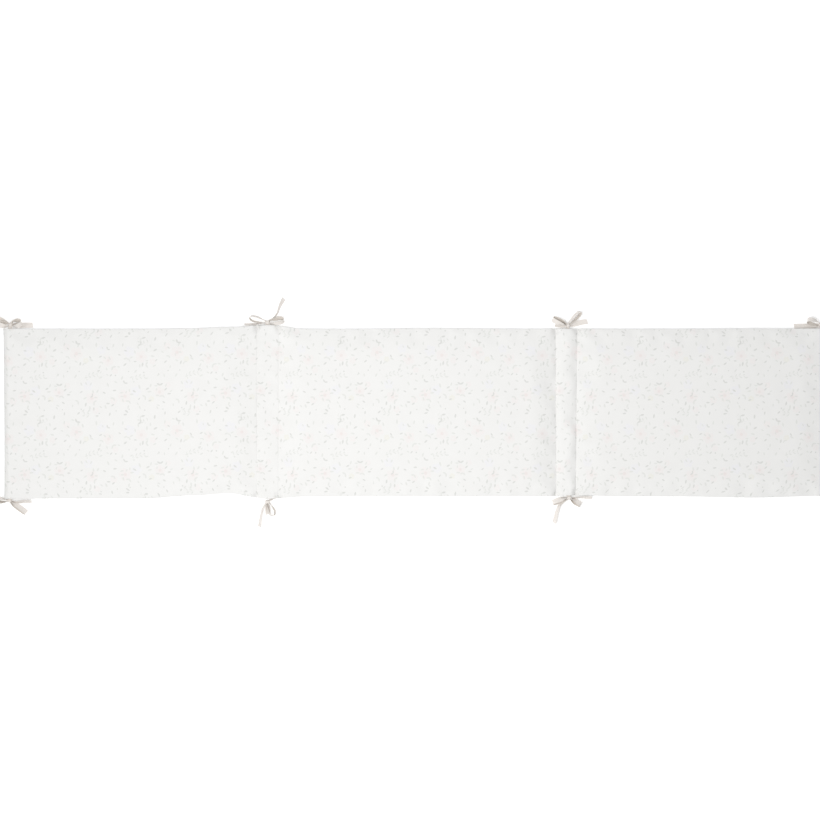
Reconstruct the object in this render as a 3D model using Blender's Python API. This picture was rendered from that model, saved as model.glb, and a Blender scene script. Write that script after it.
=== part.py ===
"""Crib bumper: a long pad of three filled panels joined by two narrow hinge channels, with a ribbon bow
sewn to each end of every hinge and at the four corners. It lies flat. X runs along the pad, Y across it
and Z up, and the origin is the middle of the flat underside. All sizes are in metres."""

import math
from collections import namedtuple

import bmesh
import bpy
import numpy as np
from mathutils import Vector

# ---- driving dimensions of the pad -------------------------------------------------------------------

Section = namedtuple("Section", "name width shoulder left_run right_run")
SECTIONS = (
    # name, laid width, height of its shoulders, how far it takes to rise from its left and right seam
    Section("left panel", 0.5228, 0.0150, 0.016, 0.038),
    Section("flat hinge", 0.0442, 0.0104, 0.014, 0.014),
    Section("middle panel", 0.5758, 0.0150, 0.034, 0.027),
    Section("raised hinge", 0.0424, 0.0152, 0.026, 0.014),
    Section("right panel", 0.5114, 0.0150, 0.020, 0.014),
)
# how far the top of each seam lies to the right of its bottom, from the left end to the right end
SEAM_SLANTS = (0.0, 0.0, 0.0, -0.0012, 0.0033, 0.0)

Edge = namedtuple("Edge", "x top bottom")
EDGES = (
    # place along the pad, and the two long edges there: pulled out by the ties, drawn in between them
    Edge(-0.850, 0.1737, -0.1790),
    Edge(-0.560, 0.1737, -0.1784),
    Edge(-0.464, 0.1748, -0.1728),
    Edge(-0.385, 0.1775, -0.1684),
    Edge(-0.303, 0.1815, -0.1790),
    Edge(-0.225, 0.1738, -0.1746),
    Edge(-0.149, 0.1736, -0.1736),
    Edge(0.025, 0.1750, -0.1738),
    Edge(0.257, 0.1738, -0.1738),
    Edge(0.345, 0.1738, -0.1714),
    Edge(0.416, 0.1736, -0.1742),
    Edge(0.551, 0.1738, -0.1744),
    Edge(0.706, 0.1744, -0.1768),
    Edge(0.850, 0.1744, -0.1730),
)

CROWN = 0.0050  # a panel's middle above its shoulders
PANEL_MIN = 0.200  # sections narrower than this have no crown
EDGE_RUN = 0.030  # from a long edge to the shoulder
EDGE_LEVEL = 0.0100  # height of the seam round the rim
CURL = 0.0105  # the left end curls up: its rim lies this much higher
CURL_RUN = 0.0085
SEAM_LEVEL = 0.0040  # height of the rim where a hinge seam meets it
# how much higher each seam lies away from the rim, from the left end to the right end
SEAM_LIFTS = (0.0, 0.0065, 0.0055, 0.0045, 0.0064, 0.0)
LIFT_RUN = 0.022
SEAM_POWER = 1.7  # how the cover curves from a hinge seam up to the shoulder
PINCH_HALF = 0.012  # how far along the rim a hinge seam pinches it
UNDER_RUN = 0.012  # from the rim in to the flat underside
UNDER_RINGS = (0.25, 1.0)  # shares of that run with a ring of points
SHOULDER_POWER = 2.4  # how square the shoulders are
CORNER = 0.003  # rounding of the four corners
# how far each end lies beyond the laid length: at its bottom corner, its middle and its top corner
END_OUT = {-1: (-0.0014, -0.0012, 0.0008), 1: (0.0, -0.0025, 0.0)}
END_RUN = 0.150  # and how far along the pad that reaches

STEPS_IN = (0.0, 0.0025, 0.007, 0.014, 0.026, 0.045)  # grid lines in from a seam or an edge
STEP_MIN = 0.004  # and no two of them closer than this in a narrow section
PANEL_STEP = 0.048  # grid step over the rest of a panel
ACROSS_STEP = 0.044
PAD_SHARP_DEG = 50  # edges sharper than this aren't shaded smooth

# ---- driving dimensions of the ties ------------------------------------------------------------------

RIBBON = 0.0105  # width
RIBBON_THICK = 0.0010
PINCH = 0.58  # share of its width that a gathered ribbon keeps at the knot
PINCH_RUN = 0.010
ROOT_SHARES = (1.0, 0.8, 0.5)  # the sewn end's width, from the rim to the knot
ROOT_PASSES = 8  # its aim and its distance from the rim settle together
KNOT = (0.0050, 0.0039, 0.0045)  # half sizes of a knot
KNOT_Z = 0.0052
KNOT_SEGMENTS = 12
KNOT_RINGS = 8
SETTLE_RUN = 0.014  # a ribbon reaches its own height this far from the knot
TOPPLE_RUN = 0.022  # and a loop has fallen over as far as it does this far from it
LAYER = 0.0007  # the ribbons lie over each other by this much inside a knot
GAP = 0.0006  # between a tie and the rim it is sewn to
FLOOR_GAP = 0.0003  # under its free ends
TAIL_START = 0.3  # a tail starts this share of its first step from the knot's middle
LOOP_STEPS = 17
TAIL_STEPS = 9
TIE_SHARP_DEG = 40

# half of a loop's outline: share of its length, share of its half spread
LOOP_SHAPE = ((0.09, 0.42), (0.35, 0.72), (0.66, 1.0), (0.91, 0.72), (1.0, 0.0))

# aim is a loop's compass angle in degrees, and topple leans its upper edge to the left of that aim;
# spread is the width of its opening, and lift the height of its lower edge
Loop = namedtuple("Loop", "aim length spread topple lift")
# a tail's rows are x and y from the knot, and the ribbon's tilt from upright in degrees; root is the
# place along the rim where the ribbon is sewn on, and root_tilt its tilt there
Tie = namedtuple("Tie", "name knot root root_tilt loops tails")
TIES = (
    Tie(
        "tie_top_left",
        knot=(-0.8370, 0.1818),
        root=-0.8370,
        root_tilt=84,
        loops=(Loop(12, 0.0240, 0.0165, 54, 0.0018), Loop(176, 0.0280, 0.0120, -72, 0.0004)),
        tails=(
            ((0.0, 0.0, 30), (0.0160, -0.0006, 84), (0.0300, -0.0004, 90), (0.0452, -0.0002, 88)),
            ((0.0, 0.0, -20), (-0.0140, 0.0090, -30), (-0.0280, 0.0160, -52), (-0.0400, 0.0270, -70)),
        ),
    ),
    Tie(
        "tie_bottom_left",
        knot=(-0.8392, -0.1828),
        root=-0.8392,
        root_tilt=84,
        loops=(Loop(-36, 0.0430, 0.0070, -58, 0.0004), Loop(179, 0.0260, 0.0080, 34, 0.0004)),
        tails=(
            ((0.0, 0.0, 10), (0.0140, -0.0030, 24), (0.0300, -0.0018, 34), (0.0445, -0.0014, 40)),
            ((0.0, 0.0, 0), (-0.0130, 0.0034, 20), (-0.0260, 0.0062, 34), (-0.0400, 0.0070, 48)),
        ),
    ),
    Tie(
        "tie_top_flat_hinge",
        knot=(-0.3044, 0.1866),
        root=-0.3034,
        root_tilt=84,
        loops=(Loop(164, 0.0380, 0.0110, 22, 0.0004), Loop(9, 0.0350, 0.0136, 42, 0.0004)),
        tails=(
            ((0.0, 0.0, 0), (-0.0160, -0.0028, 14), (-0.0320, -0.0036, 22), (-0.0476, -0.0040, 28)),
            (
                (0.0, 0.0, 0),
                (0.0130, 0.0100, 8),
                (0.0205, 0.0195, 14),
                (0.0255, 0.0335, 26),
                (0.0340, 0.0500, 50),
            ),
        ),
    ),
    Tie(
        "tie_bottom_flat_hinge",
        knot=(-0.3040, -0.1853),
        root=-0.2880,
        root_tilt=24,
        loops=(Loop(-66, 0.0310, 0.0130, 22, 0.0004),),
        tails=(
            ((0.0, 0.0, 20), (0.0002, -0.0100, 62), (0.0008, -0.0180, 70), (0.0010, -0.0260, 60)),
            ((0.0, 0.0, 0), (-0.0085, -0.0110, 20), (-0.0134, -0.0300, 28), (-0.0166, -0.0520, 44)),
        ),
    ),
    Tie(
        "tie_top_raised_hinge",
        knot=(0.3185, 0.1806),
        root=0.3180,
        root_tilt=84,
        loops=(Loop(156, 0.0340, 0.0110, -54, 0.0014), Loop(46, 0.0390, 0.0080, -30, 0.0004)),
        tails=(
            ((0.0, 0.0, 20), (0.0160, 0.0034, 76), (0.0300, 0.0068, 86), (0.0416, 0.0084, 86)),
            ((0.0, 0.0, 20), (-0.0100, 0.0006, 76), (-0.0180, 0.0014, 86), (-0.0250, 0.0026, 86)),
        ),
    ),
    Tie(
        "tie_bottom_raised_hinge",
        knot=(0.3215, -0.1768),
        root=0.3200,
        root_tilt=84,
        loops=(Loop(197, 0.0350, 0.0090, 68, 0.0004), Loop(-31, 0.0290, 0.0080, -66, 0.0004)),
        tails=(
            ((0.0, 0.0, 0), (0.0150, 0.0008, 14), (0.0310, 0.0010, 28), (0.0476, 0.0004, 42)),
            ((0.0, 0.0, 0), (-0.0180, -0.0140, 26), (-0.0246, -0.0290, 36), (-0.0300, -0.0528, 52)),
        ),
    ),
    Tie(
        "tie_top_right",
        knot=(0.8440, 0.1822),
        root=0.8425,
        root_tilt=84,
        loops=(Loop(163, 0.0300, 0.0130, 56, 0.0016), Loop(10, 0.0280, 0.0100, 26, 0.0004)),
        tails=(
            ((0.0, 0.0, 20), (-0.0180, -0.0028, 82), (-0.0370, -0.0030, 90), (-0.0545, -0.0034, 88)),
            ((0.0, 0.0, 10), (0.0140, 0.0105, 20), (0.0260, 0.0190, 40), (0.0360, 0.0310, 60)),
        ),
    ),
    Tie(
        "tie_bottom_right",
        knot=(0.8500, -0.1800),
        root=0.8390,
        root_tilt=0,
        loops=(Loop(-62, 0.0300, 0.0090, 24, 0.0004), Loop(4, 0.0290, 0.0100, -30, 0.0004)),
        tails=(
            ((0.0, 0.0, 0), (-0.0020, -0.0130, -12), (-0.0030, -0.0280, -24), (-0.0040, -0.0420, -50)),
            ((0.0, 0.0, 0), (0.0160, -0.0120, 14), (0.0300, -0.0180, 30), (0.0440, -0.0230, 52)),
        ),
    ),
)


# ---- small helpers -----------------------------------------------------------------------------------


def ease(t):
    """Smooth step from 0 to 1."""
    t = np.clip(t, 0.0, 1.0)
    return t * t * (3 - 2 * t)


def eased_between(x, rows, column):
    """The column's value at x, eased from one row of the table to the next."""
    for low, high in zip(rows, rows[1:]):
        if x <= high.x:
            share = ease((x - low.x) / (high.x - low.x))
            return (1 - share) * getattr(low, column) + share * getattr(high, column)
    return getattr(rows[-1], column)


def smooth_line(rows, count):
    """count points on a Catmull-Rom curve through rows, whose columns are all carried along."""
    rows = np.array(rows, float)
    padded = np.vstack([2 * rows[0] - rows[1], rows, 2 * rows[-1] - rows[-2]])
    found = []
    for place in np.linspace(0, len(rows) - 1, count):
        k = min(int(place), len(rows) - 2)
        t = place - k
        a, b, c, d = padded[k : k + 4]
        bend = (2 * a - 5 * b + 4 * c - d) * t**2 + (3 * b - a - 3 * c + d) * t**3
        found.append(0.5 * (2 * b + (c - a) * t + bend))
    return np.array(found)


def unit(vectors):
    return vectors / np.linalg.norm(vectors, axis=-1, keepdims=True)


def new_object(name, mesh, material):
    mesh.materials.append(material)
    obj = bpy.data.objects.new(name, mesh)
    bpy.context.scene.collection.objects.link(obj)
    return obj


def solid_of(name, verts, faces, material):
    """An object of these faces, all turned outwards."""
    mesh = bpy.data.meshes.new(name)
    mesh.from_pydata([tuple(v) for v in verts], [], faces)
    bm = bmesh.new()
    bm.from_mesh(mesh)
    bmesh.ops.recalc_face_normals(bm, faces=bm.faces)
    bm.to_mesh(mesh)
    bm.free()
    return new_object(name, mesh, material)


def fabric(name, color, roughness, sheen):
    material = bpy.data.materials.new(name)
    material.use_nodes = True
    shader = material.node_tree.nodes["Principled BSDF"]
    shader.inputs["Base Color"].default_value = (*color, 1.0)
    shader.inputs["Roughness"].default_value = roughness
    shader.inputs["Metallic"].default_value = 0.0
    shader.inputs["Sheen Weight"].default_value = sheen
    return material


def shade_smooth(obj, sharp_from_deg):
    obj.data.shade_smooth()
    obj.data.set_sharp_from_angle(angle=math.radians(sharp_from_deg))


# ---- the pad -----------------------------------------------------------------------------------------


def seam_places():
    """x of the left end, the four hinge seams and the right end."""
    widths = [section.width for section in SECTIONS]
    return np.concatenate([[0.0], np.cumsum(widths)]) - sum(widths) / 2


SEAMS = seam_places()
HALF_LENGTH = SEAMS[-1]


def grid_lines(width, step):
    """Places across a width, close together near both sides and even in between."""
    near = [s for s in STEPS_IN if s < (width - STEP_MIN) / 2]
    middle = width - 2 * near[-1]
    count = max(2, round(middle / step))
    between = [near[-1] + middle * k / count for k in range(1, count)]
    return near + between + [width - s for s in reversed(near)]


def columns():
    """(x, section, distance to its left seam, distance to its right seam) for each column of the grid."""
    found = []
    for start, section in zip(SEAMS, SECTIONS):
        places = grid_lines(section.width, PANEL_STEP)
        if section is not SECTIONS[-1]:
            places = places[:-1]
        found += [(start + s, section, s, section.width - s) for s in places]
    return found


def rise(distance, run):
    """Share of the full height at a distance from a seam: it climbs steeply, then levels off."""
    left = 1 - min(distance / run, 1.0)
    return math.sqrt(max(0.0, 1 - left**SHOULDER_POWER))


def slope(distance, run):
    """Share of the full height at a distance from a hinge seam, with a slope that eases off."""
    return 1 - (1 - min(distance / run, 1.0)) ** SEAM_POWER


def rim_level(x):
    """Height of the seam round the rim: pinched at the hinge seams, curled up at the left end."""
    nearest = min(abs(x - seam) for seam in SEAMS[1:-1])
    curl = CURL * math.exp(-(HALF_LENGTH + x) / CURL_RUN)
    return SEAM_LEVEL + (EDGE_LEVEL - SEAM_LEVEL) * float(ease(nearest / PINCH_HALF)) + curl


def long_edges(x):
    """y of the bottom and the top edge, with the rounded corners."""
    left = 1 - min(max(HALF_LENGTH - abs(x), 0.0) / CORNER, 1.0)
    cut = CORNER * (1 - math.sqrt(1 - left**2))
    return eased_between(x, EDGES, "bottom") + cut, eased_between(x, EDGES, "top") - cut


def leaned(x, across):
    """x after the slant of the seams and the curve of the ends; across runs from -1 to 1."""
    moved = x + np.interp(x, SEAMS, SEAM_SLANTS) * across / 2
    for side, outs in END_OUT.items():
        share = ease((side * x - HALF_LENGTH + END_RUN) / END_RUN)
        moved += side * share * np.polyval(np.polyfit((-1, 0, 1), outs, 2), across)
    return moved


def top_height(x, section, from_left, from_right, across, from_edge):
    lifted = 1 - ease(min(from_left, from_right) / PINCH_HALF)
    floor = rim_level(x) + np.interp(x, SEAMS, SEAM_LIFTS) * lifted * ease(from_edge / LIFT_RUN)
    climb = rise if section is SECTIONS[0] else slope
    fall = rise if section is SECTIONS[-1] else slope
    full = climb(from_left, section.left_run) * fall(from_right, section.right_run) * rise(from_edge, EDGE_RUN)
    height = floor + (section.shoulder - floor) * full
    if section.width > PANEL_MIN:
        from_middle = 2 * from_left / section.width - 1
        height += CROWN * (1 - across**2) * (1 - from_middle**4)
    return height


def make_pad(material):
    """One filled solid: the crowned top on a grid, a rounded rim and the flat underside."""
    cols = columns()
    width = EDGES[0].top - EDGES[0].bottom
    rows = grid_lines(width, ACROSS_STEP)
    high, last = len(rows), len(cols) - 1
    verts, faces = [], []
    for x, section, from_left, from_right in cols:
        bottom, top = long_edges(x)
        for row in rows:
            across = 2 * row / width - 1
            y = bottom + (top - bottom) * row / width
            from_edge = min(y - bottom, top - y)
            z = top_height(x, section, from_left, from_right, across, from_edge)
            verts.append((leaned(x, across), y, z))
    for i in range(last):
        for j in range(high - 1):
            a = i * high + j
            faces.append((a, a + high, a + high + 1, a + 1))

    ring = [i * high for i in range(last + 1)] + [last * high + j for j in range(1, high)]
    ring += [i * high + high - 1 for i in range(last - 1, -1, -1)] + list(range(high - 2, 0, -1))
    rim = [verts[v] for v in ring]
    for share in UNDER_RINGS:
        inner = list(range(len(verts), len(verts) + len(rim)))
        for x, y, z in rim:
            bottom, top = long_edges(x)
            middle, half = (bottom + top) / 2, width / 2
            run = UNDER_RUN * share
            shrunk = (x * (1 - run / HALF_LENGTH), middle + (y - middle) * (1 - run / half))
            verts.append((*shrunk, z * (1 - rise(share, 1.0))))
        for k in range(len(ring)):
            n = (k + 1) % len(ring)
            faces.append((ring[k], inner[k], inner[n], ring[n]))
        ring = inner
    faces.append(tuple(ring))
    shade_smooth(solid_of("bumper_pad", verts, faces, material), PAD_SHARP_DEG)


# ---- the ties ----------------------------------------------------------------------------------------


def strip(name, centres, across, widths, material):
    """A ribbon with a thin rectangular section, closed at both ends."""
    along = unit(np.gradient(centres, axis=0))
    across = unit(across - (across * along).sum(1)[:, None] * along)
    face = np.cross(along, across) * RIBBON_THICK / 2
    side = across * np.asarray(widths)[:, None] / 2
    verts, faces = [], []
    for c, s, f in zip(centres, side, face):
        verts += [c - s - f, c + s - f, c + s + f, c - s + f]
    for k in range(len(centres) - 1):
        for i in range(4):
            j = (i + 1) % 4
            a, b, c, d = 4 * k + i, 4 * k + j, 4 * k + 4 + j, 4 * k + 4 + i
            # both broad sides are split along the same diagonal, so a twisted ribbon keeps its thickness
            faces += [(a, b, c), (a, c, d)] if i < 2 else [(a, b, d), (b, c, d)]
    end = 4 * len(centres) - 4
    faces += [(3, 2, 1, 0), (end, end + 1, end + 2, end + 3)]
    return solid_of(name, verts, faces, material)


def pinched(distances):
    return RIBBON * (PINCH + (1 - PINCH) * ease(distances / PINCH_RUN))


def loop_strip(name, tie, loop, material):
    """A loop out of the knot and back into it, standing on its edge or toppled to one side."""
    half = [(a * loop.length, -b * loop.spread / 2) for a, b in LOOP_SHAPE]
    plan = smooth_line(half + [(a, -b) for a, b in reversed(half[:-1])], LOOP_STEPS)
    out, to_left = plan[:, :1], plan[:, 1:]
    lean = math.radians(loop.topple) * ease(out / TOPPLE_RUN)
    aim = math.radians(loop.aim)
    forward = np.array([math.cos(aim), math.sin(aim), 0.0])
    left = np.array([-math.sin(aim), math.cos(aim), 0.0])
    up = np.array([0.0, 0.0, 1.0])
    across = np.sin(lean) * left + np.cos(lean) * up
    over = np.cos(lean) * left - np.sin(lean) * up
    fallen = math.radians(abs(loop.topple))
    rest = loop.lift + RIBBON / 2 * math.cos(fallen) + (loop.spread + RIBBON_THICK) / 2 * math.sin(fallen)
    height = KNOT_Z + (rest - KNOT_Z) * ease(out / SETTLE_RUN)
    centres = np.array([*tie.knot, 0.0]) + out * forward + to_left * over + height * up
    return strip(name, centres, across, pinched(out[:, 0]), material)


def tail_strip(name, tie, rows, layer, material):
    """A free end that leaves the knot, settles on the floor and turns on its way."""
    line = smooth_line(rows, TAIL_STEPS)
    line[0, :2] = line[1, :2] * TAIL_START
    tilt = np.radians(line[:, 2:])
    heading = unit(np.gradient(line[:, :2], axis=0))
    left = np.stack([-heading[:, 1], heading[:, 0], np.zeros(len(line))], axis=1)
    across = np.sin(tilt) * left + np.cos(tilt) * np.array([0.0, 0.0, 1.0])
    from_knot = np.linalg.norm(line[:, :2], axis=1)
    rest = FLOOR_GAP + RIBBON / 2 * np.abs(across[:, 2]) + RIBBON_THICK / 2 * np.abs(np.sin(tilt[:, 0]))
    start = KNOT_Z + layer * LAYER
    height = start + (rest - start) * ease(from_knot / SETTLE_RUN)
    centres = np.stack([tie.knot[0] + line[:, 0], tie.knot[1] + line[:, 1], height], axis=1)
    return strip(name, centres, across, pinched(from_knot), material)


def off_rim(heading, across):
    """How far from the rim a ribbon's end must start, across the pad, to clear it by GAP."""
    clear = GAP + RIBBON_THICK / 2 * abs(np.cross([*heading, 0.0], across)[1])
    out, up = np.abs(across[1:])
    off = clear * math.hypot(out, up) / up
    if off * out > RIBBON / 2 * (out**2 + up**2):
        off = RIBBON / 2 * out + math.sqrt(clear**2 - (RIBBON / 2 * up) ** 2)
    return off


def root_strip(name, tie, material):
    """The sewn end: a straight ribbon that leaves the rim's seam level and dips into the knot."""
    side = math.copysign(1.0, tie.knot[1])
    rim = long_edges(tie.root)[tie.knot[1] > 0]
    tilt = math.radians(tie.root_tilt)
    start = np.array([tie.root, rim, rim_level(tie.root)])
    end = np.array([*tie.knot, KNOT_Z - LAYER])
    for _ in range(ROOT_PASSES):
        heading = unit((end - start)[:2])
        across = np.array([-heading[1] * math.sin(tilt), heading[0] * math.sin(tilt), math.cos(tilt)])
        start[1] = rim + side * off_rim(heading, across)
    middle = np.array([*(start + end)[:2] / 2, start[2]])
    centres = np.array([start, middle, end])
    return strip(name, centres, np.array([across] * 3), RIBBON * np.array(ROOT_SHARES), material)


def knot_solid(name, tie, material):
    bm = bmesh.new()
    bmesh.ops.create_uvsphere(bm, u_segments=KNOT_SEGMENTS, v_segments=KNOT_RINGS, radius=1.0)
    middle = Vector((*tie.knot, KNOT_Z))
    for v in bm.verts:
        v.co = middle + Vector(a * b for a, b in zip(v.co, KNOT))
    mesh = bpy.data.meshes.new(name)
    bm.to_mesh(mesh)
    bm.free()
    return new_object(name, mesh, material)


def make_tie(tie, material):
    """One solid: the knot, with its sewn end, loops and free ends united to it."""
    knot = knot_solid(tie.name, tie, material)
    legs = [root_strip(f"{tie.name}_root", tie, material)]
    legs += [loop_strip(f"{tie.name}_loop_{k}", tie, loop, material) for k, loop in enumerate(tie.loops)]
    for k, rows in enumerate(tie.tails):
        legs.append(tail_strip(f"{tie.name}_tail_{k}", tie, rows, k - 1, material))
    for leg in legs:
        leg.hide_render = True
        leg.display_type = "WIRE"
        union = knot.modifiers.new(leg.name, "BOOLEAN")
        union.operation = "UNION"
        union.solver = "EXACT"
        union.object = leg
    shade_smooth(knot, TIE_SHARP_DEG)


def main():
    for obj in list(bpy.data.objects):
        bpy.data.objects.remove(obj)
    cotton = fabric("printed_cotton", color=(0.80, 0.80, 0.79), roughness=0.9, sheen=0.2)
    ribbon = fabric("blush_ribbon", color=(0.68, 0.62, 0.56), roughness=0.7, sheen=0.3)
    make_pad(cotton)
    for tie in TIES:
        make_tie(tie, ribbon)


main()
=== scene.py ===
"""Looks of the crib bumper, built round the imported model: the filled cover with its puckered seams and
stitching, its small print, and the eight ribbon bows. Sizes are in metres, except those of the print and
the weaves, which are in millimetres of flat cloth. X runs along the pad, Y across it and Z up from its
underside."""

import functools
import math
from collections import namedtuple

import bpy
import numpy as np
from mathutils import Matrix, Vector


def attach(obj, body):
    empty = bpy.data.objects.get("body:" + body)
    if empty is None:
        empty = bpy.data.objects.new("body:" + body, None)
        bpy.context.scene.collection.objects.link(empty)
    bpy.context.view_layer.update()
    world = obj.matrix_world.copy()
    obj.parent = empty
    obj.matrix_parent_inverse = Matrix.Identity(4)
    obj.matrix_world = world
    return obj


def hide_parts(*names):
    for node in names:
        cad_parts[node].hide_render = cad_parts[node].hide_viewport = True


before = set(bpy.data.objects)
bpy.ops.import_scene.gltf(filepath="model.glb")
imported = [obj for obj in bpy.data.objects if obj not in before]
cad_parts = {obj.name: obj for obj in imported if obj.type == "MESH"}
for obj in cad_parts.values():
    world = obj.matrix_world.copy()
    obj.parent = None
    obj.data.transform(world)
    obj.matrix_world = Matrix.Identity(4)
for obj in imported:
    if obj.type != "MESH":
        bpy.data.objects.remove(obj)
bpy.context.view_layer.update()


def rows_of(kind, rows):
    """A table's rows with their columns named."""
    return tuple(kind(*row) for row in rows)


# ---- the pad's own sizes ----

Section = namedtuple("Section", "name width shoulder left_run right_run")
SECTIONS = rows_of(Section, (
    # name, laid width, height of its shoulders, how far it takes to rise from its left and right seam
    ("left panel", 0.5228, 0.0150, 0.016, 0.038),
    ("flat hinge", 0.0442, 0.0104, 0.014, 0.014),
    ("middle panel", 0.5758, 0.0150, 0.034, 0.027),
    ("raised hinge", 0.0424, 0.0152, 0.026, 0.014),
    ("right panel", 0.5114, 0.0150, 0.020, 0.014),
))
# how far the top of each seam lies to the right of its bottom, from the left end to the right end
SEAM_SLANTS = (0.0, 0.0, 0.0, -0.0012, 0.0033, 0.0)

Edge = namedtuple("Edge", "x top bottom")
EDGES = rows_of(Edge, (
    # place along the pad, and the two long edges there: pulled out by the ties, drawn in between them
    (-0.850, 0.1737, -0.1790),
    (-0.560, 0.1737, -0.1784),
    (-0.464, 0.1748, -0.1728),
    (-0.385, 0.1775, -0.1684),
    (-0.303, 0.1815, -0.1790),
    (-0.225, 0.1738, -0.1746),
    (-0.149, 0.1736, -0.1736),
    (0.025, 0.1750, -0.1738),
    (0.257, 0.1738, -0.1738),
    (0.345, 0.1738, -0.1714),
    (0.416, 0.1736, -0.1742),
    (0.551, 0.1738, -0.1744),
    (0.706, 0.1744, -0.1768),
    (0.850, 0.1744, -0.1730),
))

CROWN = 0.0050  # a panel's middle above its shoulders
PANEL_MIN = 0.200  # sections narrower than this have no crown
EDGE_RUN = 0.030  # from a long edge to the shoulder
EDGE_LEVEL = 0.0100  # height of the seam round the rim
CURL = 0.0105  # the left end curls up: its rim lies this much higher
CURL_RUN = 0.0085  # and how far in that fades
SEAM_LEVEL = 0.0040  # height of the rim where a hinge seam meets it
# how much higher the cover lies beside each seam away from the rim, and how deep the thread then draws
# the seam itself in, both from the left end to the right end
SEAM_LIFTS = (0.0, 0.0065, 0.0055, 0.0045, 0.0064, 0.0)
SEAM_DEPTHS = (0.0, 0.0005, 0.0005, 0.0005, 0.0006, 0.0)
SEAM_DEPTH_WIDTH = 0.0017
LIFT_RUN = 0.022  # from a long edge to where both are full
SEAM_POWER = 1.7  # how the cover curves from a seam up to the shoulder
PINCH_HALF = 0.012  # how far along the rim a hinge seam pinches it
UNDER_RUN = 0.012  # from the rim in to the flat underside
SHOULDER_POWER = 2.4  # how square the shoulders are
CORNER = 0.003  # rounding of the four corners
# how far each end lies beyond the laid length: at its bottom corner, its middle and its top corner
END_OUT = {-1: (-0.0014, -0.0012, 0.0008), 1: (0.0, -0.0025, 0.0)}
END_RUN = 0.150  # and how far along the pad that reaches

# grid lines in from a seam or an edge, then evenly spaced over the rest
NEAR = (0.0, 0.0012, 0.0032, 0.0062, 0.0100, 0.0145, 0.0195, 0.0250)
STEP = 0.0068
STEP_MIN = 0.0030

# ---- what the filling does to the cover ----

CLOTH_FRAMES = 20
CLOTH_CAP = 0.0045  # how far the simulation may move a point
# the simulated cloth: pushed up by the filling, held where it is sewn, and with 1.6% more of it there
CLOTH = {
    "quality": 6,
    "mass": 0.15,
    "tension_stiffness": 25,
    "compression_stiffness": 25,
    "shear_stiffness": 8,
    "bending_stiffness": 1.0,
    "air_damping": 4,
    "vertex_group_mass": "held",
    "pin_stiffness": 1.0,
    "use_pressure": True,
    "uniform_pressure_force": 0.12,
    "vertex_group_shrink": "taut",
    "shrink_min": -0.016,
    "shrink_max": 0.0,
}
FULL_RUN = 0.040  # how far from the seams the extra cloth fades out
HOLD = 0.050  # how firmly the wadding holds the cover
SMOOTHINGS = 2  # the simulated moves are averaged with their neighbours this often

GATHER = 0.00042  # height of the fine gathers along the seams
GATHER_WAVE = 0.0115
GATHER_PATCH = 0.060  # gathers come and go over this length
GATHER_MEAN = 0.6  # around this share of their height
GATHER_RUN = 0.0085  # how far from the seam they fade
GATHER_START = 0.0022
RIM_WAVE = 0.0150
RIPPLE_WAVES = 7  # waves of different lengths that make one uneven row
RIPPLE_SPREAD = 0.45  # and how far those lengths vary
# the wadding's soft hills, large and small: length, how askew they lie both ways, height and seed
HILLS = ((0.130, 0.4, -0.3, 0.00018, 31), (0.050, -0.5, 0.6, 0.00009, 33))

LIP_IN = 0.0007  # the rim's seam line lies this far back between the two layers, which bulge out
LIP_OUT = 0.0005
LIP_WIDTH = 0.00035
LIP_RUN = 0.0030

UNDER_GROOVE = 0.0026  # depth of the hinge seams on the back
UNDER_GROOVE_WIDTH = 0.0030

# soft creases: where each starts, its compass aim in degrees, and its length, width and depth
Crease = namedtuple("Crease", "x y aim length width depth")
CREASES = rows_of(Crease, (
    (0.2660, -0.1800, 92, 0.034, 0.0020, 0.0009),
    (0.2870, -0.1700, 70, 0.046, 0.0032, 0.0006),
    (0.2790, 0.1700, -80, 0.040, 0.0030, 0.0006),
    (0.7740, 0.1700, -52, 0.022, 0.0024, 0.0008),
    (0.7965, 0.1680, -41, 0.038, 0.0026, 0.0009),
    (-0.7900, 0.1700, -130, 0.036, 0.0030, 0.0005),
    (-0.3240, -0.1500, 84, 0.060, 0.0040, 0.0004),
    (-0.2830, -0.0500, 78, 0.090, 0.0045, 0.0004),
    (0.3320, 0.0400, -96, 0.080, 0.0042, 0.0004),
))
CREASE_START = 0.2  # a crease rises over this share of its length
CREASE_HOLLOW = 0.5  # and lies in a hollow twice as wide and this share as deep
# the fan in the cover at each tie: aim away from straight in, then length, width and depth
TIE_FAN = (
    (-46, 0.020, 0.0020, 0.0007),
    (-14, 0.032, 0.0026, 0.0008),
    (22, 0.026, 0.0022, 0.0007),
    (58, 0.018, 0.0018, 0.0005),
)
FAN_STRAY = 10  # a fan's creases stray from their aim by up to this
FAN_SIZES = (0.7, 1.3)  # and vary in size between these shares
FAN_WIDTH = 0.006  # half width of the fan's root
FAN_IN = 0.001  # from the rim to where it starts

# ---- sewing and cloth ----

FLAT = "flat cloth"  # layer with each point's place on its cloth, laid flat, in metres
BACK = "back of cloth"  # and 1 on the back of a ribbon
BACK_SHIFT = 0.067  # the cover's back is cut from another place of the print

STITCH = 0.0027  # length of a stitch that shows
STITCH_PITCH = 0.0036
THREAD = 0.00046
STITCH_SWAY = 0.00014
STITCH_RINGS = 7
STITCH_SIDES = 6
STITCH_TAPER = 0.6  # how much thinner the thread is at a stitch's ends
STITCH_RISE = 0.30  # height of its middle, and how far its ends dive from there, in threads
STITCH_DIVE = 0.75
SHARP_DEG = 50.0  # edges sharper than this are shaded as edges

# ---- the ribbons ----

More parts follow.
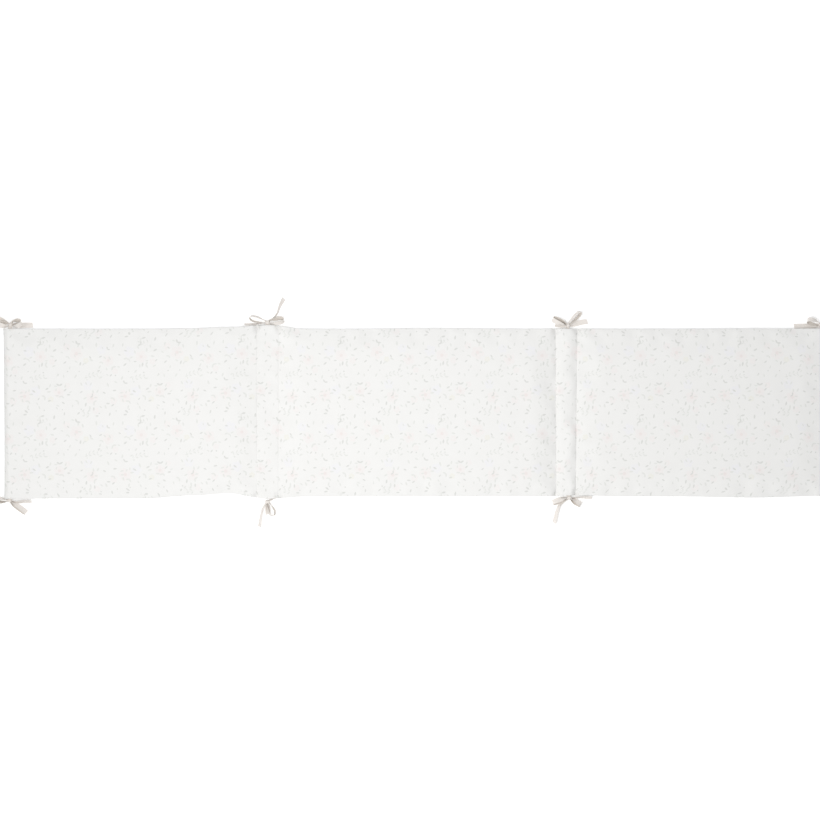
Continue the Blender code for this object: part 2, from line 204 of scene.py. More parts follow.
RIBBON = 0.0105  # width
RIBBON_THICK = 0.00045
SOLID_THICK = 0.0010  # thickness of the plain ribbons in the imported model
RIBBON_COLUMNS = 11  # points across it
CUP = 0.045  # how far it cups, as a share of its width
FOLDS = 2.5  # folds across it where it is gathered
FOLD_HEIGHT = 0.00085
SWAY = 0.00018  # it is never quite smooth
SWAY_WAVE = 0.014
SELVEDGE_THICK = 0.25  # its woven edges are thicker by this share
SELVEDGE_FROM = 0.88  # from here out, as a share of its half width
SELVEDGE_FULL = 0.97
END_CUT = 0.08  # slant of a cut end, as a share of the width
END_CUT_FROM = 5 / 6  # and where along the tail the slant begins to show
PINCH = 0.66  # share of its width that a gathered ribbon keeps at the knot
PINCH_RUN = 0.010
KNOT = (0.0050, 0.0039, 0.0045)  # half sizes of a knot
KNOT_Z = 0.0052
KNOT_TAKE = 0.045  # length of ribbon inside a knot
KNOT_RINGS = 27
KNOT_TURNS = 32
KNOT_FOLD = 0.055  # height and number of the folds in a knot's wrap, and how far they sway round it
KNOT_FOLDS = 3.0
KNOT_FOLD_SWAY = 1.3
KNOT_OVERLAP = 0.060  # the step where the wrap's end tucks under, its sway and how soon it rises
KNOT_OVERLAP_SWAY = 0.4
KNOT_OVERLAP_RUN = 0.1
KNOT_BLUNT = 0.8  # power that gathers its rings at its ends
KNOT_FULL = 0.55  # power that keeps it thick up to them
SETTLE_RUN = 0.014  # a ribbon reaches its own height this far from the knot
TOPPLE_RUN = 0.022  # and a loop has fallen over as far as it does this far from it
LAYER = 0.0007  # the ribbons lie over each other by this much inside a knot
FLOOR_GAP = 0.0003
TAIL_START = 0.3  # a tail starts this share of its first step from the knot's middle
LOOP_STEPS = 57
TAIL_STEPS = 41
ROOT_STEPS = 9
ROOT_INSET = 0.0030  # the sewn end starts this far inside the rim
ROOT_PINCH = 1.2  # and is gathered this much sooner than at the knot
# where the folds across a gathered ribbon begin, so that no two parts of a bow are alike
ROOT_PHASE = 0.5
LOOP_PHASE = 2.0
TAIL_PHASE = 1.0

# half of a loop's outline: share of its length, share of its half spread
LOOP_SHAPE = ((0.09, 0.42), (0.35, 0.72), (0.66, 1.0), (0.91, 0.72), (1.0, 0.0))

# aim is a loop's compass angle in degrees, and topple leans its upper edge to the left of that aim;
# spread is the width of its opening, and lift the height of its lower edge
Loop = namedtuple("Loop", "aim length spread topple lift")
# a tail's rows are x and y from the knot, and the ribbon's tilt from upright in degrees; root is the
# place along the rim where the ribbon is sewn on, and root_tilt its tilt there
Tie = namedtuple("Tie", "name knot root root_tilt loops tails")
TIES = (
    Tie(
        "tie_top_left", knot=(-0.8370, 0.1818), root=-0.8370, root_tilt=84,
        loops=(Loop(12, 0.0240, 0.0165, 54, 0.0018), Loop(176, 0.0280, 0.0120, -72, 0.0004)),
        tails=(
            ((0, 0, 30), (0.0160, -0.0006, 84), (0.0300, -0.0004, 90), (0.0452, -0.0002, 88)),
            ((0, 0, -20), (-0.0140, 0.0090, -30), (-0.0280, 0.0160, -52), (-0.0400, 0.0270, -70)),
        ),
    ),
    Tie(
        "tie_bottom_left", knot=(-0.8392, -0.1828), root=-0.8392, root_tilt=84,
        loops=(Loop(-36, 0.0430, 0.0070, -58, 0.0004), Loop(179, 0.0260, 0.0080, 34, 0.0004)),
        tails=(
            ((0, 0, 10), (0.0140, -0.0030, 24), (0.0300, -0.0018, 34), (0.0445, -0.0014, 40)),
            ((0, 0, 0), (-0.0130, 0.0034, 20), (-0.0260, 0.0062, 34), (-0.0400, 0.0070, 48)),
        ),
    ),
    Tie(
        "tie_top_flat_hinge", knot=(-0.3044, 0.1866), root=-0.3034, root_tilt=84,
        loops=(Loop(164, 0.0380, 0.0110, 22, 0.0004), Loop(9, 0.0350, 0.0136, 42, 0.0004)),
        tails=(
            ((0, 0, 0), (-0.0160, -0.0028, 14), (-0.0320, -0.0036, 22), (-0.0476, -0.0040, 28)),
            ((0, 0, 0), (0.0130, 0.0100, 8), (0.0205, 0.0195, 14), (0.0255, 0.0335, 26), (0.0340, 0.05, 50)),
        ),
    ),
    Tie(
        "tie_bottom_flat_hinge", knot=(-0.3040, -0.1853), root=-0.2880, root_tilt=24,
        loops=(Loop(-66, 0.0310, 0.0130, 22, 0.0004),),
        tails=(
            ((0, 0, 20), (0.0002, -0.0100, 62), (0.0008, -0.0180, 70), (0.0010, -0.0260, 60)),
            ((0, 0, 0), (-0.0085, -0.0110, 20), (-0.0134, -0.0300, 28), (-0.0166, -0.0520, 44)),
        ),
    ),
    Tie(
        "tie_top_raised_hinge", knot=(0.3185, 0.1806), root=0.3180, root_tilt=84,
        loops=(Loop(156, 0.0340, 0.0110, -54, 0.0014), Loop(46, 0.0390, 0.0080, -30, 0.0004)),
        tails=(
            ((0, 0, 20), (0.0160, 0.0034, 76), (0.0300, 0.0068, 86), (0.0416, 0.0084, 86)),
            ((0, 0, 20), (-0.0100, 0.0006, 76), (-0.0180, 0.0014, 86), (-0.0250, 0.0026, 86)),
        ),
    ),
    Tie(
        "tie_bottom_raised_hinge", knot=(0.3215, -0.1768), root=0.3200, root_tilt=84,
        loops=(Loop(197, 0.0350, 0.0090, 68, 0.0004), Loop(-31, 0.0290, 0.0080, -66, 0.0004)),
        tails=(
            ((0, 0, 0), (0.0150, 0.0008, 14), (0.0310, 0.0010, 28), (0.0476, 0.0004, 42)),
            ((0, 0, 0), (-0.0180, -0.0140, 26), (-0.0246, -0.0290, 36), (-0.0300, -0.0528, 52)),
        ),
    ),
    Tie(
        "tie_top_right", knot=(0.8440, 0.1822), root=0.8425, root_tilt=84,
        loops=(Loop(163, 0.0300, 0.0130, 56, 0.0016), Loop(10, 0.0280, 0.0100, 26, 0.0004)),
        tails=(
            ((0, 0, 20), (-0.0180, -0.0028, 82), (-0.0370, -0.0030, 90), (-0.0545, -0.0034, 88)),
            ((0, 0, 10), (0.0140, 0.0105, 20), (0.0260, 0.0190, 40), (0.0360, 0.0310, 60)),
        ),
    ),
    Tie(
        "tie_bottom_right", knot=(0.8500, -0.1800), root=0.8390, root_tilt=0,
        loops=(Loop(-62, 0.0300, 0.0090, 24, 0.0004), Loop(4, 0.0290, 0.0100, -30, 0.0004)),
        tails=(
            ((0, 0, 0), (-0.0020, -0.0130, -12), (-0.0030, -0.0280, -24), (-0.0040, -0.0420, -50)),
            ((0, 0, 0), (0.0160, -0.0120, 14), (0.0300, -0.0180, 30), (0.0440, -0.0230, 52)),
        ),
    ),
)

# ---- the print, in millimetres of flat cloth ----

MM = 1000.0
REPEAT_X, REPEAT_Y = 208.0, 162.0
# each bouquet: the middle of its large flower in the repeat and that flower's size; then where its
# small flower lies from there, that one's size and ink, and the seed of its leaves
Bouquet = namedtuple("Bouquet", "x y size aside small ink seed")
BOUQUETS = rows_of(Bouquet, (
    (24, 36, 27, (23, 10), 22, "lilac", 1),
    (96, 44, 23, (-17, -14), 12, "straw", 2),
    (164, 32, 26, (-8, 26), 20, "lilac", 3),
    (58, 118, 25, (-24, 10), 23, "lilac", 4),
    (132, 124, 28, (20, -14), 12, "straw", 5),
    (198, 110, 24, (-14, 22), 19, "lilac", 6),
))
BOUQUET_LEAVES = 17
BOUQUET_REACH = (5.0, 36.0)  # the leaves lie this far from the large flower's middle
BOUQUET_LEAF = (6.0, 9.4)  # and are this long
BOUQUET_STRAY = 0.8  # they stand round it unevenly, by this share of a step
BOUQUET_TURN = 65  # a leaf may turn this far from pointing straight outward
LEAF_CLEAR = 5.4  # a leaf whose middle is nearer than this to an earlier leaf's is left out
BUD = 0.55  # size of the bud opposite the small flower, as a share of the large one
# each row between them: what it holds, its height in the repeat, how many, and their size; then their
# turn in degrees and how far it varies, how far they stray from even spacing, and the row's seed
PrintRow = namedtuple("PrintRow", "kind y count size turn spread stray ink seed")
Motif = namedtuple("Motif", "kind x y turn size ink")
PRINT_ROWS = rows_of(PrintRow, (
    ("dot", 4, 6, 2.6, 0, 0, 9, "olive", 4),
    ("leaf", 14, 7, 8.0, 110, 50, 9, "sage", 3),
    ("leaf", 60, 7, 9.0, 88, 30, 8, "sage", 7),
    ("leaf", 76, 7, 8.0, 40, 60, 9, "sage", 8),
    ("sprig", 78, 2, 24.0, 25, 30, 12, "sage", 6),
    ("dot", 84, 7, 2.8, 0, 0, 9, "olive", 13),
    ("leaf", 96, 7, 8.0, 70, 50, 9, "sage", 14),
    ("leaf", 142, 7, 9.0, 95, 30, 8, "sage", 17),
    ("sprig", 154, 2, 22.0, 150, 30, 12, "sage", 16),
    ("leaf", 158, 7, 8.0, 60, 60, 9, "olive", 21),
))
ROW_STRAY = 0.6  # up and down they stray this share of what they do along the row
ROW_SIZES = (0.85, 1.15)  # and their sizes vary between these shares
INKS = {
    "petal": (0.805, 0.773, 0.763),
    "lilac": (0.790, 0.786, 0.805),
    "straw": (0.780, 0.770, 0.710),
    "rose": (0.772, 0.706, 0.692),
    "sage": (0.700, 0.707, 0.682),
    "olive": (0.630, 0.635, 0.613),
}
SOFT_EDGE = 1.6  # the flowers' inks fade out over this much
INK_EDGE = 0.16  # and the leaves' over this much
INK_GRAIN = 0.9  # blots in each millimetre of the ink
INK_SPAN = (0.25, 0.60)  # how far their noise is stretched
INK_THIN = 0.75  # the ink covers at least this much of the cloth
LEAF_RADIUS = 0.725  # of the two arcs that make a leaf, as a share of its length
LEAF_OFFSET = 0.724  # from its middle to their centres, as a share of that radius
PAIR_ASIDE = 0.30
PAIR_TURN = 58
SPRIG_BEND = 4.0  # how far a sprig's ends lie below its middle
SPRIG_STEP = 8.5  # between its pairs of leaves
SPRIG_LEAF = 0.80  # length of its leaves, as a share of that step
SPRIG_TURN = 42
SPRIG_ASIDE = 0.45  # from the stem to a leaf's middle, as a share of its length
STEM_HALF = 0.22
PETALS = 5
HEART = 0.26  # a flower's heart, its petals and how far out they lie, as shares of its size
PETAL = 0.21
PETAL_OUT = 0.29

# ---- cloth and colours ----

MM_HEIGHT = 0.001  # the unit of the heights below, a millimetre
SPECULAR = 0.25
SHEEN_ROUGHNESS = 0.5
CLOUD_SPAN = (0.3, 0.7)  # how far the noise of two run-together colours is stretched
COTTON_PALE = (0.807, 0.802, 0.792)
COTTON_DEEP = (0.794, 0.789, 0.777)
COTTON_GAP = (0.640, 0.630, 0.600)
COTTON_PITCH = 0.42  # between threads, in millimetres as the grains and heights below
COTTON_THREAD = 0.045  # depth of the weave
COTTON_SLUB = 1.6  # threads of another thickness in each millimetre
COTTON_SLUB_HEIGHT = 0.020
SLUB_LENGTH = 0.06  # scale of their noise along a thread, as a share of that across it
WEAVE_POWER = 6.0  # how narrow the gaps between the threads are
WEAVE_SHADE = 0.35
CLOUD_GRAIN = 0.030
RUMPLE_GRAIN = 0.085
RUMPLE_HEIGHT = 0.22
COTTON_ROUGHNESS = 0.9
COTTON_SHEEN = 0.12
# the colour below is painted shade where the thread's twist dips
THREAD_TWIST_SHADE = (0.640, 0.635, 0.610)
THREAD_RELIEF = 0.03
TWIST = 9.0
RIBBON_PALE = (0.805, 0.768, 0.732)
RIBBON_DEEP = (0.775, 0.730, 0.690)
# the colour below is painted shade for the troughs between the ribs
RIBBON_TROUGH_SHADE = (0.640, 0.590, 0.545)
RIBBON_BACK_SHADE = (0.92, 0.91, 0.89)  # painted shade on its back, which lies inside the loops, as shares of its face
RIB_PITCH = 0.62
RIBBON_YARN = 0.45
RIB_RELIEF = 0.09
RIB_SHADE = 0.8
YARN_RELIEF = 0.35  # as a share of the ribs' height
EDGE_RELIEF = 0.8
EDGE_SHADE = 0.35
RIBBON_CLOUD = 0.11
RIBBON_SLUB = 0.8
RIBBON_ROUGHNESS = 0.72
RIBBON_SHEEN = 0.2

# ---- the studio ----

FLOOR_PALE = (0.950, 0.950, 0.950)
FLOOR_DEEP = (0.940, 0.940, 0.940)
FLOOR_GRAIN = 3.0
FLOOR_ROUGHNESS = 0.95
FLOOR_GLOW = 0.17
FLOOR_HALF = 6.0
FLOOR_Z = -0.0002
KEY_PLACE = (-0.24, -0.18, 1.90)
KEY_SIZE = 0.8
KEY_POWER = 16.0
KEY_COLOR = (1.000, 0.995, 0.985)
SUN_FROM = (-1.0, -0.35, 1.0)  # toward a pale window
SUN_POWER = 0.56
SUN_SIZE = 0.4  # its width, as an angle
WORLD_LIGHT = 0.690
WORLD_COLOR = (0.980, 0.990, 1.000)

# ---- the view ----

VIEW_CENTRE = (-0.0083, 0.0052)  # the middle of the picture, on the pad
VIEW_WIDTH = 1.698  # and how much of the pad's length it takes in, at this height
PAD_TOP = 0.014
LENS = 85.0
SENSOR = 36.0


# ---- numbers and meshes ----

UP = np.array([0.0, 0.0, 1.0])
COARSE = np.s_[::2, ::2]  # every second line of the fine grid, both ways


def ease(t):
    """Smooth step from 0 to 1."""
    t = np.clip(t, 0.0, 1.0)
    return t * t * (3 - 2 * t)


def eased_between(x, rows, column):
    """The column's value at each x, eased from one row of the table to the next."""
    places = np.array([row.x for row in rows])
    values = np.array([getattr(row, column) for row in rows])
    low = np.clip(np.searchsorted(places, x) - 1, 0, len(rows) - 2)
    share = ease((x - places[low]) / (places[low + 1] - places[low]))
    return (1 - share) * values[low] + share * values[low + 1]


def smooth_line(rows, count):
    """count points on a Catmull-Rom curve through rows, whose columns are all carried along."""
    rows = np.array(rows, float)
    padded = np.vstack([2 * rows[0] - rows[1], rows, 2 * rows[-1] - rows[-2]])
    found = []
    for place in np.linspace(0, len(rows) - 1, count):
        k = min(int(place), len(rows) - 2)
        t = place - k
        a, b, c, d = padded[k : k + 4]
        bend = (2 * a - 5 * b + 4 * c - d) * t**2 + (3 * b - a - 3 * c + d) * t**3
        found.append(0.5 * (2 * b + (c - a) * t + bend))
    return np.array(found)


def unit(vectors):
    return vectors / np.linalg.norm(vectors, axis=-1, keepdims=True)


def ripples(place, wavelength, seed):
    """Uneven waves from about -1 to 1 along a line, with lengths around the given one."""
    draw = np.random.default_rng(seed)
    lengths = wavelength * (1 + RIPPLE_SPREAD * draw.uniform(-1, 1, RIPPLE_WAVES))
    phases = draw.uniform(0, 2 * math.pi, RIPPLE_WAVES)
    total = sum(np.sin(2 * math.pi * place / length + p) for length, p in zip(lengths, phases))
    return total / math.sqrt(RIPPLE_WAVES)


def travelled(points, axis=0):
    """Distance along a line or a grid of points, from its start."""
    steps = np.linalg.norm(np.diff(points, axis=axis), axis=-1)
    total = np.cumsum(steps, axis=axis)
    return np.concatenate([np.zeros_like(np.take(total, [0], axis=axis)), total], axis=axis)


def compass(degrees):
    """Unit vectors ahead and to the left of a heading on the floor."""
    turn = math.radians(degrees)
    return np.array([math.cos(turn), math.sin(turn), 0.0]), np.array([-math.sin(turn), math.cos(turn), 0.0])


def tube_faces(rings, around, capped=True):
    """Quads from each ring of points to the next, and a face over each of the two open ends."""
    faces = []
    for k in range(rings - 1):
        for i in range(around):
            a, b = k * around + i, k * around + (i + 1) % around
            faces.append((a, a + around, b + around, b))
    if capped:
        last = (rings - 1) * around
        faces.append(tuple(range(around)))
        faces.append(tuple(last + i for i in reversed(range(around))))
    return faces


def linked(name, data):
    """A new object in the scene."""
    made = bpy.data.objects.new(name, data)
    bpy.context.scene.collection.objects.link(made)
    return made


def new_mesh(name, points, faces):
    """A mesh of points and faces."""
    mesh = bpy.data.meshes.new(name)
    mesh.from_pydata(np.asarray(points).tolist(), [], faces)
    return mesh


def corner_points(mesh):
    """The point at each corner of each face."""
    corners = np.empty(len(mesh.loops), dtype=np.int64)
    mesh.loops.foreach_get("vertex_index", corners)
    return corners


def lay_flat(mesh, places):
    """Gives each corner of each face its place on the flat cloth."""
    layer = mesh.uv_layers.new(name=FLAT)
    layer.data.foreach_set("uv", np.ravel(places))


# ---- the cover's shape ----


def seam_places():
    """x of the left end, the four hinge seams and the right end."""
    widths = [section.width for section in SECTIONS]
    return np.concatenate([[0.0], np.cumsum(widths)]) - sum(widths) / 2


SEAMS = seam_places()
HALF_LENGTH = SEAMS[-1]


def fine_lines(width):
    """Grid lines across a width, close together near both sides; every second one is a coarse line."""
    near = [s for s in NEAR if s < (width - STEP_MIN) / 2]
    middle = width - 2 * near[-1]
    count = max(1, round(middle / STEP))
    between = [near[-1] + middle * k / count for k in range(1, count)]
    coarse = np.array(near + between + [width - s for s in reversed(near)])
    fine = np.empty(2 * len(coarse) - 1)
    fine[::2] = coarse
    fine[1::2] = (coarse[:-1] + coarse[1:]) / 2
    return fine


def rise(distance, run):
    """Share of the full height at a distance from a seam: it climbs steeply, then levels off."""
    left = 1 - np.clip(distance / run, 0.0, 1.0)
    return np.sqrt(np.maximum(0.0, 1 - left**SHOULDER_POWER))


def slope(distance, run):
    """Share of the full height at a distance from a hinge seam, with a slope that eases off."""
    return 1 - (1 - np.clip(distance / run, 0.0, 1.0)) ** SEAM_POWER


def rim_level(x):
    """Height of the seam round the rim: pinched at the hinge seams, curled up at the left end."""
    nearest = np.min(np.abs(np.asarray(x)[..., None] - SEAMS[1:-1]), axis=-1)
    curl = CURL * np.exp(-(HALF_LENGTH + x) / CURL_RUN)
    return SEAM_LEVEL + (EDGE_LEVEL - SEAM_LEVEL) * ease(nearest / PINCH_HALF) + curl


def long_edges(x):
    """y of the bottom and the top edge, with the rounded corners."""
    left = 1 - np.minimum(np.maximum(HALF_LENGTH - np.abs(x), 0.0) / CORNER, 1.0)
    cut = CORNER * (1 - np.sqrt(1 - left**2))
    return eased_between(x, EDGES, "bottom") + cut, eased_between(x, EDGES, "top") - cut


def rim_of(tie):
    """y of the rim where a tie is sewn on."""
    return float(long_edges(tie.root)[int(tie.knot[1] > 0)])


class Cover:
    """The laid cover on a fine grid: plan places, distances to its seams, and heights of both sides."""

    def __init__(self):
        columns, self.seam_columns = [], []
        for start, section in zip(SEAMS, SECTIONS):
            self.seam_columns.append(len(columns))
            lines = fine_lines(section.width)
            # each section's last line is the next one's first
            for s in lines if section is SECTIONS[-1] else lines[:-1]:
                middle = 2 * s / section.width - 1
                crown = CROWN * (1 - middle**4) if section.width > PANEL_MIN else 0.0
                runs = section.shoulder, section.left_run, section.right_run
                columns.append((start + s, s, section.width - s, crown, *runs))
        self.seam_columns.append(len(columns) - 1)
        x, from_left, from_right, crown, shoulder, left_run, right_run = np.array(columns).T[..., None]
        width = EDGES[0].top - EDGES[0].bottom
        row = fine_lines(width)[None, :]
        bottom, top = long_edges(x)
        self.across = 2 * row / width - 1 + 0 * x
        self.y = bottom + (top - bottom) * row / width
        self.from_rim = np.minimum(self.y - bottom, top - self.y)
        self.from_end = HALF_LENGTH - np.abs(x) + 0 * row
        self.from_seam = np.minimum(from_left, from_right) + 0 * row
        self.level = rim_level(x) + 0 * row
        self.x = x + np.interp(x, SEAMS, SEAM_SLANTS) * self.across / 2
        for side, outs in END_OUT.items():
            share = ease((side * x - HALF_LENGTH + END_RUN) / END_RUN)
            self.x += side * share * np.polyval(np.polyfit((-1, 0, 1), outs, 2), self.across)
        full = 1.0
        at_ends = np.isclose(x - from_left, SEAMS[0]), np.isclose(x + from_right, SEAMS[-1])
        for at_end, distance, run in zip(at_ends, (from_left, from_right), (left_run, right_run)):
            full = full * np.where(at_end, rise(distance, run), slope(distance, run))
        full = full * rise(self.from_rim, EDGE_RUN)
        inward = ease(self.from_rim / LIFT_RUN)
        lift = np.interp(x, SEAMS, SEAM_LIFTS) * (1 - ease(self.from_seam / PINCH_HALF)) * inward
        drawn_in = np.interp(x, SEAMS, SEAM_DEPTHS) * np.exp(-((self.from_seam / SEAM_DEPTH_WIDTH) ** 2))
        floor = self.level + lift - drawn_in * inward
        self.z = floor + (shoulder - floor) * full + crown * (1 - self.across**2)


def upsampled(coarse):
    """Values between the coarse lines of both directions, on cubic curves through them."""
    for axis in (0, 1):
        values = np.moveaxis(coarse, axis, 0)
        padded = np.concatenate([values[:1], values, values[-1:]])
        fine = np.empty((2 * len(values) - 1, *values.shape[1:]))
        fine[::2] = values
        fine[1::2] = (9 * (padded[1:-2] + padded[2:-1]) - padded[:-3] - padded[3:]) / 16
        coarse = np.moveaxis(fine, 0, axis)
    return coarse


def grid_faces(columns, rows):
    """Quads of a grid whose points run along its rows first."""
    a = (np.arange(columns - 1)[:, None] * rows + np.arange(rows - 1)[None, :]).ravel()
    return np.stack([a, a + rows, a + rows + 1, a + 1], axis=1)


def pushed_out(cover):
    """How far the filling moves the cover on the coarse grid, from a cloth simulation."""
    start = np.stack([cover.x[COARSE], cover.y[COARSE], cover.z[COARSE]], axis=-1)
    mesh = new_mesh("cover_draft", start.reshape(-1, 3), grid_faces(*start.shape[:2]).tolist())
    draft = linked("cover_draft", mesh)
    nearest = np.minimum(cover.from_seam, cover.from_rim)[COARSE].ravel()
    held = draft.vertex_groups.new(name="held")
    taut = draft.vertex_groups.new(name="taut")
    for index, distance in enumerate(nearest):
        held.add([index], 1.0 if distance < NEAR[1] / 2 else HOLD, "REPLACE")
        taut.add([index], float(ease(distance / FULL_RUN)), "REPLACE")
    cloth = draft.modifiers.new("cloth", "CLOTH")
    for setting, value in CLOTH.items():
        setattr(cloth.settings, setting, value)
    cloth.settings.effector_weights.gravity = 0
    cloth.collision_settings.use_self_collision = False
    cloth.point_cache.frame_start = 1
    cloth.point_cache.frame_end = CLOTH_FRAMES
    scene = bpy.context.scene
    for number in range(1, CLOTH_FRAMES + 1):
        scene.frame_set(number)
    settled = draft.evaluated_get(bpy.context.evaluated_depsgraph_get()).to_mesh()
    end = np.empty(len(settled.vertices) * 3)
    settled.vertices.foreach_get("co", end)
    moved = end.reshape(start.shape) - start
    scene.frame_set(1)
    bpy.data.objects.remove(draft)
    reach = np.linalg.norm(moved, axis=-1, keepdims=True)
    return moved * np.minimum(1.0, CLOTH_CAP / np.maximum(reach, 1e-9))


def smoothed(values, times):
    """Values on a grid, averaged with their neighbours a few times."""
    for _ in range(times):
        for axis in (0, 1):
            v = np.moveaxis(values, axis, 0)
            padded = np.concatenate([v[:1], v, v[-1:]])
            values = np.moveaxis((padded[:-2] + 2 * v + padded[2:]) / 4, 0, axis)
    return values


def grid_normals(points):
    along, across = np.gradient(points, axis=0), np.gradient(points, axis=1)
    return unit(np.cross(along, across))


def gathers(place, distance, wavelength, seed, patch_seed):
    """Fine gathers beside a seam, which come and go along it and fade away from it."""
    wave = ripples(place, wavelength, seed)
    strength = GATHER_MEAN + (1 - GATHER_MEAN) * ripples(place, GATHER_PATCH, patch_seed)
    return GATHER * wave * strength * np.exp(-distance / GATHER_RUN) * ease(distance / GATHER_START)


def seam_puckers(cover):
    """The gathers across the sewn seams and the rim, as heights along the cover's normal."""
    height = np.zeros_like(cover.x)
    rims = ((cover.from_rim, cover.x, cover.across), (cover.from_end, cover.y, cover.x))
    for side in (-1, 1):
        for number, column in enumerate(cover.seam_columns[1:-1]):
            off = cover.x - cover.x[column]
            seed = 10 * number + side + 5
            height += gathers(cover.y, np.abs(off), GATHER_WAVE, seed, seed + 2) * (off * side > 0)
        for number, (distance, place, way) in enumerate(rims):
            seed = 10 * number + side + 60
            height += gathers(place, distance, RIM_WAVE, seed, seed + 20) * (way * side > 0)
    return height


def crease_heights(cover):
    """The soft creases of the table, and the ones that fan out from where each tie pulls the rim."""
    height = np.zeros_like(cover.x)
    for crease in (*CREASES, *tie_creases()):
        aim = math.radians(crease.aim)
        along = (cover.x - crease.x) * math.cos(aim) + (cover.y - crease.y) * math.sin(aim)
        aside = ((cover.y - crease.y) * math.cos(aim) - (cover.x - crease.x) * math.sin(aim)) / crease.width
        reach = ease(along / (CREASE_START * crease.length)) * (1 - ease(along / crease.length))
        fold = np.exp(-(aside**2)) - CREASE_HOLLOW * np.exp(-((aside / 2) ** 2))
        height += crease.depth * reach * fold
    return height


def tie_creases():
    """The fan of short creases where each ribbon is sewn into the rim."""
    found = []
    for number, tie in enumerate(TIES):
        draw = np.random.default_rng(400 + number)
        side = math.copysign(1, tie.knot[1])
        for turn, length, width, depth in TIE_FAN:
            aim = -90 * side + turn * side + FAN_STRAY * draw.uniform(-1, 1)
            size = draw.uniform(*FAN_SIZES)
            start = tie.root + FAN_WIDTH * math.cos(math.radians(aim))
            found.append(Crease(start, rim_of(tie) - FAN_IN * side, aim, length * size, width, depth * size))
    return found


def unevenness(cover):
    """The wadding's own soft hills and hollows, away from the seams."""
    height = np.zeros_like(cover.x)
    for length, askew_x, askew_y, most, seed in HILLS:
        along = ripples(cover.x + askew_x * cover.y, length, seed)
        height += most * along * ripples(cover.y + askew_y * cover.x, length, seed + 1)
    return height * ease(np.minimum(cover.from_seam, cover.from_rim) / FULL_RUN)


def lip(distance):
    """How far the cover stands out past the rim: back at the seam itself, proud just beside it."""
    seam = np.exp(-((distance / LIP_WIDTH) ** 2))
    return -LIP_IN * seam + LIP_OUT * (1 - seam) * np.exp(-((distance / LIP_RUN) ** 2))


def with_lips(cover, part, points):
    points = points.copy()
    points[..., 0] += np.sign(cover.x[part]) * lip(cover.from_end[part])
    points[..., 1] += np.sign(cover.across[part]) * lip(cover.from_rim[part])
    return points


def top_points(cover):
    """The printed face: the laid shape, pushed out by the filling, gathered, creased and lipped."""
    laid = np.stack([cover.x, cover.y, cover.z], axis=-1)
    laid = laid + upsampled(smoothed(pushed_out(cover), SMOOTHINGS))
    raised = seam_puckers(cover) + crease_heights(cover) + unevenness(cover)
    laid += grid_normals(laid) * raised[..., None]
    return with_lips(cover, np.s_[:, :], laid)


def under_points(cover):
    """The back: rounded from the rim down to a flat, with a shallow groove along each sewn seam."""
    from_edge = np.minimum(cover.from_rim, cover.from_end)[COARSE]
    z = cover.level[COARSE] * (1 - rise(from_edge, UNDER_RUN))
    for column in cover.seam_columns[1:-1]:
        off = (cover.x - cover.x[column])[COARSE]
        z = np.maximum(z, UNDER_GROOVE * np.exp(-((off / UNDER_GROOVE_WIDTH) ** 2)))
    return with_lips(cover, COARSE, np.stack([cover.x[COARSE], cover.y[COARSE], z], axis=-1))


def arc_lengths(points, axis):
    """Distance travelled over the cloth along one direction of the grid, from its middle."""
    total = travelled(points, axis)
    return total - np.take(total, [total.shape[axis] // 2], axis=axis)


def cover_mesh(name, cover):
    """One closed mesh of the printed face and the back, which share the points of the rim's seam."""
    top, under = top_points(cover), under_points(cover)
    columns, rows = top.shape[:2]
    few_columns, few_rows = under.shape[:2]
    index = np.arange(columns * rows).reshape(columns, rows)
    below = index[COARSE].copy()
    inner = (few_columns - 2) * (few_rows - 2)
    below[1:-1, 1:-1] = (columns * rows + np.arange(inner)).reshape(few_columns - 2, few_rows - 2)
    faces = grid_faces(columns, rows).tolist()
    front_count = len(faces)
    for i in range(few_columns - 1):
        for j in range(few_rows - 1):
            corners = ((i, j), (i, j + 1), (i + 1, j + 1), (i + 1, j), (i, j))
            face = []
            for (a, b), (c, d) in zip(corners, corners[1:]):
                face.append(int(below[a, b]))
                # a back face at the rim also takes the point in the middle of its rim edge
                if (a == c and a in (0, few_columns - 1)) or (b == d and b in (0, few_rows - 1)):
                    face.append(int(index[a + c, b + d]))
            faces.append(face)
    points = np.concatenate([top.reshape(-1, 3), under[1:-1, 1:-1].reshape(-1, 3)])
    flat_front = np.stack([arc_lengths(top, 0), arc_lengths(top, 1)], axis=-1).reshape(-1, 2)
    flat_back = np.stack([BACK_SHIFT - points[:, 0], points[:, 1]], axis=-1)
    mesh = new_mesh(name, points, faces)
    corners = corner_points(mesh)
    on_front = np.arange(len(corners))[:, None] < 4 * front_count
    on_top = np.minimum(corners, len(flat_front) - 1)
    lay_flat(mesh, np.where(on_front, flat_front[on_top], flat_back[corners]))
    mesh.shade_smooth()
    return mesh, top, under


def as_piece(name, mesh, material):
    """A new piece of the object that rides on its one body."""
    mesh.materials.append(material)
    piece = linked(name, mesh)
    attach(piece, "root")
    return piece


# ---- stitches ----


def thread_stitch():
    """One stitch along X: a short thread that dives into the cloth at both ends."""
    share = np.linspace(1, -1, STITCH_RINGS)
    turn = np.linspace(0, 2 * math.pi, STITCH_SIDES, endpoint=False)
    radius = THREAD / 2 * (1 - STITCH_TAPER * share**6)
    height = THREAD * (STITCH_RISE - STITCH_DIVE * share**2)
    ring = np.stack([0 * turn, np.cos(turn), np.sin(turn)], axis=-1)
    points = radius[:, None, None] * ring[None]
    points[..., 0] = share[:, None] * STITCH / 2
    points[..., 2] += height[:, None]
    return points.reshape(-1, 3), tube_faces(STITCH_RINGS, STITCH_SIDES)


